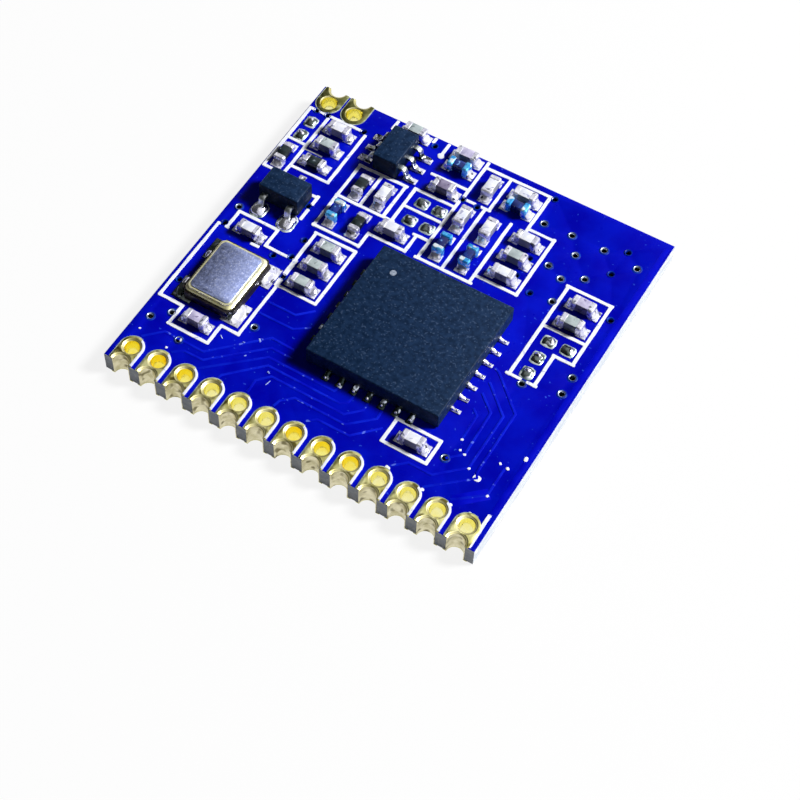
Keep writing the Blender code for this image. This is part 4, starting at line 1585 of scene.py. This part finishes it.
@dataclass
class Transceiver:
    """The square moulded chip with a row of soldered terminals along each side.

    A bead of solder has a width, and a place given as a share of the length that the solder wets.
    """

    node: str = "transceiver_chip"
    side: float = 6.12
    standoff: float = 0.06
    land: float = 0.04
    pitch: float = 0.65
    terminals: int = 7
    terminal_width: float = 0.3
    terminal_height: float = 0.2
    terminal_depth: float = 0.1
    terminal_edge: float = 0.02
    terminal_share: float = 0.9
    terminal_set_in: float = 0.04
    land_under: float = 0.2
    # Of each pair of fields for the two kinds of terminal, the first is for the right and back sides, the
    # second for the left and front sides, whose solder takes a painted shade.
    bright_share: float = 0.62
    shaded_share: float = 0.9
    wet_share: float = 0.8
    wet_spread: float = 0.25
    bright_climb: float = 0.24
    shaded_climb: float = 0.17
    solder_lump: float = 0.045
    solder_grain: float = 0.12
    bead_height: float = 0.12
    bright_bead: Point = (0.13, 0.9)
    shaded_bead: Point = (0.15, 0.72)
    dot_radius: float = 0.14
    dot_inset: float = 1.06
    dot_depth: float = 0.02
    dot_rise: float = 0.001
    edge: float = 0.05

    def build(self) -> None:
        """Makes the body, its corner dot and its terminals."""
        centre, size = centre_of(self.node), size_of(self.node)
        draft = Draft("transceiver_body", "chip_mould", [self.node])
        low, high = self.standoff, size.z
        body = block((self.side, self.side, high - low), self.edge, 3)
        draft.add(body, MOULD, at(centre.x, centre.y, centre.z + (low + high) / 2))
        corner = self.side / 2 - self.dot_inset
        sunk, raised = high - self.dot_depth, high + self.dot_rise
        dish = [(0.0, sunk), (self.dot_radius, sunk), (self.dot_radius, raised), (0.0, raised)]
        draft.add(turned(dish, 24), DOT, at(centre.x - corner, centre.y + corner, centre.z))
        reach = (size.x - self.side) / 2
        for quarter in range(4):
            for index in range(self.terminals):
                along = (index - (self.terminals - 1) / 2) * self.pitch
                spot = at(centre.x, centre.y, centre.z, 90 * quarter) @ at(self.side / 2, along, 0)
                # The terminals on the left and front sides take a painted shade.
                self.add_terminal(draft, spot, reach, quarter * 10 + index, in_shade=quarter > 1)
        draft.finished()

    def add_terminal(self, draft: Draft, spot: Matrix, reach: float, number: int, in_shade: bool) -> None:
        """Adds one terminal with its land and solder.

        Args:
            draft: The chip's draft.
            spot: The foot of the terminal's face, with X outwards.
            reach: How far its land reaches out.
            number: The terminal's number, which seeds its lumps.
            in_shade: Whether it is on one of the two shaded sides, the left and the front, whose land and
                solder take a painted shade, all but a bead at its toe.
        """
        inner = self.land_under
        land_width = self.terminal_width * (1.0 if in_shade else self.bright_share)
        land = block((reach + inner, land_width, self.land), LAND_EDGE)
        # On the left and front sides the land and the solder take the near-black solder, a painted shade.
        under, solder = (DEEP_SHADE_SOLDER, DEEP_SHADE_SOLDER) if in_shade else (TERMINAL, SOLDER)
        draft.add(land, under, spot @ at((reach - inner) / 2, 0, self.land / 2))
        shown = self.terminal_width * self.terminal_share
        metal = block((self.terminal_depth, shown, self.terminal_height), self.terminal_edge)
        middle = self.standoff + self.terminal_height / 2
        # The terminal's face takes the dark tin, a painted shade under the body's edge.
        draft.add(metal, DARK_LEAD, spot @ at(-self.terminal_set_in, 0, middle))
        drift = noise.noise(Vector((number * 1.3, 0.4, 2.0)))
        wet = reach * (self.wet_share + self.wet_spread * drift)
        width = self.terminal_width * (self.shaded_share if in_shade else self.bright_share)
        climb = self.shaded_climb if in_shade else self.bright_climb
        fillet = SolderFillet(wet, width, climb, lump=self.solder_lump, grain=self.solder_grain)
        draft.add(fillet.mesh(number * 2.1), solder, spot @ at(0, 0, self.land / 2))
        across, share = self.shaded_bead if in_shade else self.bright_bead
        bead = SolderDome(across, across, self.bead_height)
        draft.add(bead.mesh(number * 1.7), BEAD_SOLDER, spot @ at(wet * share, 0, self.land / 2))


@dataclass
class LeadedPackage:
    """A moulded package on bent leads, longest along X before it is turned.

    The blob is the radius of the heaps of solder on its front leads, if they have any. A heap, and
    the skirt under it, has a length and a width in those radii, then a height and the size of its
    lumps. A heap's height is counted from the top of the lead.
    """

    node: str
    name: str
    turn: float
    pitch: float
    lead_width: float
    front_leads: int
    back_leads: int
    blob: float = 0.0
    length: float = 2.0
    width: float = 1.25
    standoff: float = 0.06
    lead_span: float = 2.1
    thickness: float = 0.12
    land: float = 0.04
    narrowing: float = 0.035
    edge: float = 0.06
    bend: float = 0.1
    straight: float = 0.1
    buried: float = 0.08
    leg_angle: float = 78.0
    lead_edge: float = 0.02
    land_share: float = 0.55
    land_spare: float = 0.04
    toe_share: float = 0.96
    toe_spread: float = 1.05
    toe_height: float = 0.06
    toe_over: float = 0.06
    toe_lap: float = 0.02
    toe_lump: float = 0.035
    blob_growth: float = 0.12
    blob_shift: float = 0.08
    blob_out: float = 0.02
    blob_lift: float = 0.01
    heap: tuple[float, float, float, float] = (2.2, 1.8, 0.09, 0.05)
    skirt: tuple[float, float, float, float] = (2.5, 2.1, 0.07, 0.03)
    # How much of the mould's tones the body's upright faces keep: a painted shade on its walls.
    wall_shade: float = 0.75

    def build(self) -> None:
        """Makes the body and its soldered leads."""
        centre, size = centre_of(self.node), size_of(self.node)
        place = at(centre.x, centre.y, centre.z, self.turn)
        draft = Draft(self.name, "chip_mould", [self.node])
        height = size.z - self.standoff
        body_place = place @ at(0, 0, self.standoff + height / 2)
        # The body's upright faces take a darker copy of the mould, a painted shade.
        draft.add(self.body(height), MOULD, body_place, MOULD.dimmed(self.wall_shade))
        reach = (max(size.x, size.y) - self.lead_span) / 2
        for side, count in ((-90, self.front_leads), (90, self.back_leads)):
            for index in range(count):
                along = (index - (count - 1) / 2) * self.pitch
                spot = place @ at(0, 0, 0, side) @ at(self.width / 2, along, 0)
                self.add_lead(draft, spot, height, reach, side + index)
                if self.blob and side < 0:
                    self.add_blob(draft, spot, index)
        draft.finished()

    def body(self, height: float) -> BMesh:
        """The moulded body, which narrows from its parting line up and down.

        Args:
            height: The body's height.

        Returns:
            Its mesh, about its middle.
        """
        mesh = block((self.length, self.width, height))
        everything = [*mesh.verts, *mesh.edges, *mesh.faces]
        bmesh.ops.bisect_plane(mesh, geom=everything, plane_co=(0, 0, 0), plane_no=(0, 0, 1))
        for point in mesh.verts:
            if abs(point.co.z) > height / 4:
                point.co.x -= math.copysign(self.narrowing, point.co.x)
                point.co.y -= math.copysign(self.narrowing, point.co.y)
        corners = [edge for edge in mesh.edges if edge.calc_face_angle(0) > BODY_TURN]
        return bevelled(mesh, corners, self.edge, 3)

    def add_lead(self, draft: Draft, spot: Matrix, height: float, reach: float, number: int) -> None:
        """Adds one bent lead with its land and solder.

        Args:
            draft: The package's draft.
            spot: The foot of the body's wall, with X outwards.
            height: The body's height.
            reach: How far the land reaches past the lead's toe.
            number: The lead's number, which seeds its solder.
        """
        out = (self.lead_span - self.width) / 2
        rise = self.standoff + height / 2
        draft.add(self.lead(out, rise), LEAD_TIN, spot)
        length = out * self.land_share + reach
        land = block((length, self.lead_width + self.land_spare, self.land), LAND_EDGE)
        draft.add(land, TERMINAL, spot @ at(out + reach - length / 2, 0, self.land / 2))
        wet, width = reach * self.toe_share, self.lead_width * self.toe_spread
        climb = self.thickness + self.toe_over
        toe = SolderFillet(wet, width, climb, toe=self.toe_height, lump=self.toe_lump)
        foot = spot @ at(out - self.toe_lap, 0, self.land / 2)
        draft.add(toe.mesh(number * 0.7), SOLDER, foot)

    def add_blob(self, draft: Draft, spot: Matrix, number: int) -> None:
        """Adds the heap of solder that covers a front lead's foot.

        Args:
            draft: The package's draft.
            spot: The foot of the body's wall, with X outwards.
            number: The lead's number.
        """
        out = (self.lead_span - self.width) / 2
        reach = self.blob * (1 + self.blob_growth * number)
        foot = spot @ at(out + self.blob_out, self.blob_shift * number, 0)
        length, width, height, lump = self.heap
        heap = SolderDome(length * reach, width * reach, self.thickness + height, lump)
        draft.add(heap.mesh(3.0 + 5 * number), BEAD_SOLDER, foot @ at(0, 0, self.blob_lift))
        length, width, height, lump = self.skirt
        skirt = SolderDome(length * reach, width * reach, height, lump)
        draft.add(skirt.mesh(8.0 + 3 * number), PALE_RIM, foot)

    def lead(self, out: float, rise: float) -> BMesh:
        """A flat strip spun and drawn through two bends.

        Args:
            out: How far its toe lies from the body.
            rise: The height at which it leaves the body.

        Returns:
            Its mesh, with the wall of the body at X = 0.
        """
        mesh = bmesh.new()
        upright = Matrix.Rotation(math.pi / 2, 4, "Y")
        bmesh.ops.create_grid(mesh, x_segments=1, y_segments=1, size=0.5, matrix=upright)
        bmesh.ops.scale(mesh, vec=(1, self.lead_width, self.thickness), verts=mesh.verts)
        bmesh.ops.translate(mesh, vec=(-self.buried, 0, rise), verts=mesh.verts)
        drop = rise - self.land - self.thickness / 2
        lean = math.radians(self.leg_angle)
        radius = self.bend + self.thickness / 2
        leg = (drop - 2 * radius * (1 - math.cos(lean))) / math.sin(lean)
        head = drawn(mesh, [*mesh.faces], Vector((self.buried + self.straight, 0, 0)))
        head = swung(mesh, head, Vector((self.straight, 0, rise - radius)), lean)
        head = drawn(mesh, head, Vector((math.cos(lean), 0, -math.sin(lean))) * leg)
        heel = middle_of(head) + Vector((math.sin(lean), 0, math.cos(lean))) * radius
        head = swung(mesh, head, heel, -lean)
        drawn(mesh, head, Vector((out - middle_of(head).x, 0, 0)))
        bmesh.ops.remove_doubles(mesh, verts=mesh.verts, dist=TOUCHING)
        bmesh.ops.recalc_face_normals(mesh, faces=mesh.faces)
        sharp = [edge for edge in mesh.edges if edge.calc_face_angle(0) > LEAD_TURN]
        return bevelled(mesh, sharp, self.lead_edge)


def middle_of(faces: Iterable[BMFace]) -> Vector:
    """The middle of the first of some faces."""
    return next(iter(faces)).calc_center_median()


def drawn(mesh: BMesh, faces: list[BMFace], run: Vector) -> list[BMFace]:
    """Extrudes faces along a straight run.

    Args:
        mesh: Their mesh.
        faces: The faces at the end of the strip.
        run: How far they move.

    Returns:
        The faces at the new end.
    """
    made = bmesh.ops.extrude_face_region(mesh, geom=faces)["geom"]
    bmesh.ops.translate(mesh, vec=run, verts=only(BMVert, made))
    return only(BMFace, made)


def swung(mesh: BMesh, faces: list[BMFace], centre: Vector, angle: float) -> list[BMFace]:
    """Extrudes faces round a bend about the Y axis.

    Args:
        mesh: Their mesh.
        faces: The faces at the end of the strip.
        centre: A point on the bend's axis.
        angle: How far they turn.

    Returns:
        The faces at the new end.
    """
    made = bmesh.ops.spin(mesh, geom=faces, cent=centre, axis=(0, 1, 0), angle=angle, steps=5)
    return only(BMFace, made["geom_last"])


@dataclass
class Crystal:
    """The crystal: a dark ceramic base on four soldered lands, a gold seal ring and a metal lid."""

    width: float = 2.5
    length: float = 3.2
    standoff: float = 0.06
    notch: float = 0.2
    corner: float = 0.25
    wall: float = 0.3
    inner_corner: float = 0.12
    brim: float = 0.09
    crown_corner: float = 0.21
    ring_slope: float = 0.085
    brim_slope: float = 0.06
    slope: float = 0.62
    brim_share: float = 0.55
    crown_share: float = 0.2
    crown_edge: float = 0.08
    base_edge: float = 0.02
    plating: float = 0.02
    plating_proud: float = 0.008
    plating_gap: float = 0.05
    land_length: float = 1.15
    land_reach: float = 0.4
    land_under: float = 0.5
    overhang: float = 0.12
    land: float = 0.04
    wet_share: Point = (0.97, 0.98)
    solder_lap: float = 0.03
    solder_toe: float = 0.09
    solder_lump: float = 0.05
    solder_grain: float = 0.3
    bead: Triple = (0.24, 0.42, 0.16)
    bead_place: Point = (0.2, 0.3)
    bead_lump: float = 0.06

    def build(self) -> None:
        """Makes the base, the ring and the lid, each as a piece."""
        centre, size = centre_of("crystal_base"), size_of("crystal_base")
        place = at(centre.x, centre.y, centre.z)
        base = Draft("crystal_package", "dark_ceramic", ["crystal_base"])
        base.add(plate(self.outline(), [], self.standoff, size.z, self.base_edge), CERAMIC_BASE, place)
        for side in (-1, 1):
            for end in (-1, 1):
                self.add_joint(base, place, side, end, size.z)
        base.finished()
        self.build_ring()
        self.build_lid()

    def outline(self) -> Loop:
        """The base's outline, with a quarter round bitten from each corner.

        Returns:
            Its points.
        """
        points: Loop = []
        for turn, (side, end) in enumerate(CORNERS):
            corner = (side * self.width / 2, end * self.length / 2)
            points += arc(corner, self.notch, 270 + 90 * turn, 180 + 90 * turn, 6)
        return points

    def add_joint(self, draft: Draft, place: Matrix, side: int, end: int, height: float) -> None:
        """Adds one land with its solder, and the plated corner above it.

        Args:
            draft: The base's draft.
            place: The middle of the base.
            side: Which side the land is on.
            end: Which end the land is at.
            height: The base's height.
        """
        along = end * (self.length / 2 - self.land_length / 2 + self.overhang)
        facing = 0 if side > 0 else 180
        spot = place @ at(side * self.width / 2, along, 0, facing)
        inner = self.land_under
        land = block((self.land_reach + inner, self.land_length, self.land), LAND_EDGE)
        # The lands on the left side take the dark solder, a painted shade; those on the right keep the
        # bright solder.
        finish = SHADED_SOLDER if side < 0 else SOLDER
        draft.add(land, finish, spot @ at((self.land_reach - inner) / 2, 0, self.land / 2))
        out_share, side_share = self.wet_share
        fillet = SolderFillet(
            self.land_reach * out_share, self.land_length * side_share, height / 2,
            toe=self.solder_toe, lump=self.solder_lump, grain=self.solder_grain,
        )
        foot = spot @ at(-self.solder_lap, 0, self.land / 2)
        draft.add(fillet.mesh(side + 2.3 * end), finish, foot)
        if side < 0:
            out, along = self.bead_place
            bead = SolderDome(*self.bead, lump=self.bead_lump)
            draft.add(bead.mesh(4.1 * end), BEAD_SOLDER, spot @ at(out, along * end, self.land / 2))
        start = (180 + 90 * CORNERS.index((side, end))) % 360
        reach = self.notch + self.plating_proud
        outer = arc((0, 0), reach, start, start + 90, 6)
        inside = arc((0, 0), reach - self.plating, start + 90, start, 6)
        corner = place @ at(side * self.width / 2, end * self.length / 2, 0)
        plating = plate(outer + inside, [], self.standoff, height - self.plating_gap)
        # The plated corners take the dark solder, a painted shade.
        draft.add(plating, SHADED_SOLDER, corner)

    def build_ring(self) -> None:
        """Makes the gold seal ring, whose rims slope."""
        centre, size = centre_of("crystal_seal_ring"), size_of("crystal_seal_ring")
        draft = Draft("seal_ring", "gold_plate", ["crystal_seal_ring"])
        opening = rounded(size.x - 2 * self.wall, size.y - 2 * self.wall, self.inner_corner)
        ring = plate(rounded(size.x, size.y, self.corner), [opening], 0.0, size.z)
        sloped(ring, 0.0, size.z, self.ring_slope, self.slope)
        draft.add(ring, RING_GOLD, at(centre.x, centre.y, centre.z))
        draft.finished()

    def build_lid(self) -> None:
        """Makes the metal lid, whose rim steps down to the ring."""
        centre, size = centre_of("crystal_lid"), size_of("crystal_lid")
        draft = Draft("sealed_lid", "metal_lid", ["crystal_lid"])
        place = at(centre.x, centre.y, centre.z)
        step = size.z * self.brim_share
        brim = plate(rounded(size.x, size.y, self.corner), [], 0.0, step)
        draft.add(sloped(brim, 0.0, step, self.brim_slope, self.slope), RING_GOLD, place)
        crown = rounded(size.x - 2 * self.brim, size.y - 2 * self.brim, self.crown_corner)
        draft.add(plate(crown, [], size.z * self.crown_share, size.z, self.crown_edge), LID, place)
        draft.finished()


@dataclass
class Studio:
    """The pale floor, the soft lamp and sky, and the camera at the photograph's viewing angle."""

    aim: Triple = (-1.535, -7.168, 1.05)
    azimuth: float = 35.57
    elevation: float = 57.38
    roll: float = -3.16
    farthest: float = 10000
    distance: float = 72.06
    lens: float = 81.65
    shift: Point = (0.1654, 0.0091)
    sensor: float = 36.0
    lamp_side: Triple = (0.8, 0.5, 0.9)
    lamp_distance: float = 420
    lamp_size: float = 95
    lamp_level: float = 1.46
    fill: float = 0.045
    fill_colour: Colour = (0.93, 0.93, 1.0, 1.0)
    floor_size: float = 2000
    floor_drop: float = 0.01
    floor_shade: float = 0.9
    floor_bounce: float = 0.3
    floor_glow: float = 0.86
    sky_side: Triple = (0.8, 0.4, 0.0)
    sky: tuple[Point, ...] = ((0.05, 0.03), (0.4, 0.12), (0.5, 0.72), (0.62, 1.0))

    def build(self) -> None:
        """Makes the floor, the sky, the lamp and the camera."""
        scene = bpy.context.scene
        scene.view_settings.view_transform = "Standard"
        self.add_floor()
        self.add_sky()
        self.add_lamp("key")
        self.add_camera()

    def add_floor(self) -> None:
        """A pale floor that shows white, keeps the shadow and throws little light back up."""
        bpy.ops.mesh.primitive_plane_add(size=self.floor_size * MILLIMETRE)
        floor = bpy.context.object
        floor.location.z = -self.floor_drop * MILLIMETRE
        floor.name = "floor"
        material = bpy.data.materials.new("pale_floor")
        material.use_nodes = True
        nodes, links = material.node_tree.nodes, material.node_tree.links
        nodes.clear()
        shade = nodes.new("ShaderNodeBsdfDiffuse")
        shade.inputs["Color"].default_value = grey(self.floor_shade)
        bounce = nodes.new("ShaderNodeBsdfDiffuse")
        bounce.inputs["Color"].default_value = grey(self.floor_bounce)
        glow = nodes.new("ShaderNodeEmission")
        both = nodes.new("ShaderNodeMixShader")
        both.inputs["Fac"].default_value = self.floor_glow
        links.new(shade.outputs[0], both.inputs[1])
        links.new(glow.outputs[0], both.inputs[2])
        self.shown_or_not(material.node_tree, both, bounce, nodes.new("ShaderNodeOutputMaterial"))
        floor.data.materials.append(material)

    def shown_or_not(
        self, tree: bpy.types.NodeTree, shown: bpy.types.Node, other: bpy.types.Node, output: bpy.types.Node
    ) -> None:
        """Joins two shaders to an output: one for rays that show a thing, one for those that light.

        Args:
            tree: The node tree.
            shown: The shader for camera rays, and for rays by gloss or through glass.
            other: The shader for all other rays.
            output: The output.
        """
        path = tree.nodes.new("ShaderNodeLightPath")
        share = path.outputs["Is Camera Ray"]
        for ray in ("Is Glossy Ray", "Is Transmission Ray"):
            either = tree.nodes.new("ShaderNodeMath")
            either.operation = "MAXIMUM"
            tree.links.new(share, either.inputs[0])
            tree.links.new(path.outputs[ray], either.inputs[1])
            share = either.outputs[0]
        choice = tree.nodes.new("ShaderNodeMixShader")
        tree.links.new(share, choice.inputs["Fac"])
        tree.links.new(other.outputs[0], choice.inputs[1])
        tree.links.new(shown.outputs[0], choice.inputs[2])
        tree.links.new(choice.outputs[0], output.inputs["Surface"])

    def add_sky(self) -> None:
        """A white sky for the camera and for gloss, and a softer one that lights the object."""
        world = bpy.data.worlds.new("studio_sky")
        bpy.context.scene.world = world
        world.use_nodes = True
        tree = world.node_tree
        tree.nodes.clear()
        white = tree.nodes.new("ShaderNodeBackground")
        tree.links.new(self.sky_shade(tree), white.inputs["Color"])
        soft = tree.nodes.new("ShaderNodeBackground")
        soft.inputs["Color"].default_value = self.fill_colour
        soft.inputs["Strength"].default_value = self.fill
        self.shown_or_not(tree, white, soft, tree.nodes.new("ShaderNodeOutputWorld"))

    def sky_shade(self, tree: bpy.types.NodeTree) -> Socket:
        """The sky that shows in gloss: white on the key lamp's side and dim on the other.

        Args:
            tree: The world's node tree.

        Returns:
            The socket that gives its shade.
        """
        direction = tree.nodes.new("ShaderNodeTexCoord")
        side = tree.nodes.new("ShaderNodeVectorMath")
        side.operation = "DOT_PRODUCT"
        side.inputs[1].default_value = self.sky_side
        share = tree.nodes.new("ShaderNodeMapRange")
        share.inputs["From Min"].default_value = -1.0
        ramp = tree.nodes.new("ShaderNodeValToRGB")
        tree.links.new(direction.outputs["Generated"], side.inputs[0])
        tree.links.new(side.outputs["Value"], share.inputs["Value"])
        tree.links.new(share.outputs["Result"], ramp.inputs["Fac"])
        elements = ramp.color_ramp.elements
        while len(elements) < len(self.sky):
            elements.new(0.5)
        for element, (position, shade) in zip(elements, self.sky):
            element.position = position
            element.color = grey(shade)
        return ramp.outputs["Color"]

    def add_lamp(self, name: str) -> None:
        """The square soft lamp. A level of 1 shows a white face that is turned to it as white.

        Args:
            name: Its name.
        """
        lamp = bpy.data.lights.new(name, "AREA")
        lamp.size = self.lamp_size * MILLIMETRE
        reach = self.lamp_distance * MILLIMETRE
        lamp.energy = self.lamp_level * (math.pi * reach) ** 2
        holder = bpy.data.objects.new(name, lamp)
        direction = Vector(self.lamp_side).normalized()
        holder.location = direction * reach
        holder.rotation_euler = direction.to_track_quat("Z", "Y").to_euler()
        bpy.context.scene.collection.objects.link(holder)

    def add_camera(self) -> None:
        """The camera, at the photograph's angle, distance and lens."""
        camera = bpy.data.cameras.new("camera")
        camera.lens = self.lens
        camera.sensor_width = self.sensor
        camera.shift_x, camera.shift_y = self.shift
        camera.clip_start = MILLIMETRE
        camera.clip_end = self.farthest * MILLIMETRE
        holder = bpy.data.objects.new("camera", camera)
        turn, tilt = math.radians(self.azimuth), math.radians(self.elevation)
        level = math.cos(tilt)
        back = Vector((math.sin(turn) * level, -math.cos(turn) * level, math.sin(tilt)))
        facing = back.to_track_quat("Z", "Y").to_matrix().to_4x4()
        lean = Matrix.Rotation(math.radians(self.roll), 4, "Z")
        spot = Matrix.Translation((Vector(self.aim) + back * self.distance) * MILLIMETRE)
        holder.matrix_world = spot @ facing @ lean
        bpy.context.scene.collection.objects.link(holder)
        bpy.context.scene.camera = holder


TONED_CAPACITORS = {
    Ceramic.BEIGE: ("02", "03", "04", "05", "07", "10", "16"),
    Ceramic.LILAC: ("09", "11", "20"),
    Ceramic.PLUM: ("17",),
}


def ceramic_of(number: str) -> Ceramic:
    """The ceramic tone of a capacitor, by its number."""
    return next((tone for tone, numbers in TONED_CAPACITORS.items() if number in numbers), Ceramic.WHITE)


def chip_parts() -> list[ChipPart]:
    """Every small part with two ends, from the frame's nodes.

    Returns:
        The capacitors, the resistors and the inductors.
    """
    parts = [
        ChipPart(node, f"ceramic_{node}", "capacitor", ceramic_of(node[-2:]).value)
        for node in nodes_named("capacitor_")
    ]
    parts += [
        ChipPart(node, f"glazed_{node}", "resistor", GLAZE, climb=0.75)
        for node in nodes_named("resistor_")
    ]
    # The inductors' ends take the cyan tone, a painted highlight.
    parts += [
        ChipPart(node, f"wound_{node}", "inductor", COIL, CYAN_HIGHLIGHT_TERMINAL, waist=0.05)
        for node in nodes_named("inductor_")
    ]
    return parts


def main() -> None:
    """Builds the board, its parts and the studio in order."""
    logging.basicConfig(level=logging.INFO, format="%(name)s %(message)s")
    Studio().build()
    pads = Pads()
    Board().build(pads)
    pads.build()
    for part in chip_parts():
        part.build()
    Transceiver().build()
    LeadedPackage(
        "antenna_switch", "switch_package", 90, pitch=0.65, lead_width=0.25, front_leads=3, back_leads=3
    ).build()
    LeadedPackage(
        "transistor", "transistor_package", 0, pitch=1.3, lead_width=0.28, front_leads=2, back_leads=1,
        blob=0.35,
    ).build()
    Crystal().build()


if __name__ == "__main__":
    main()
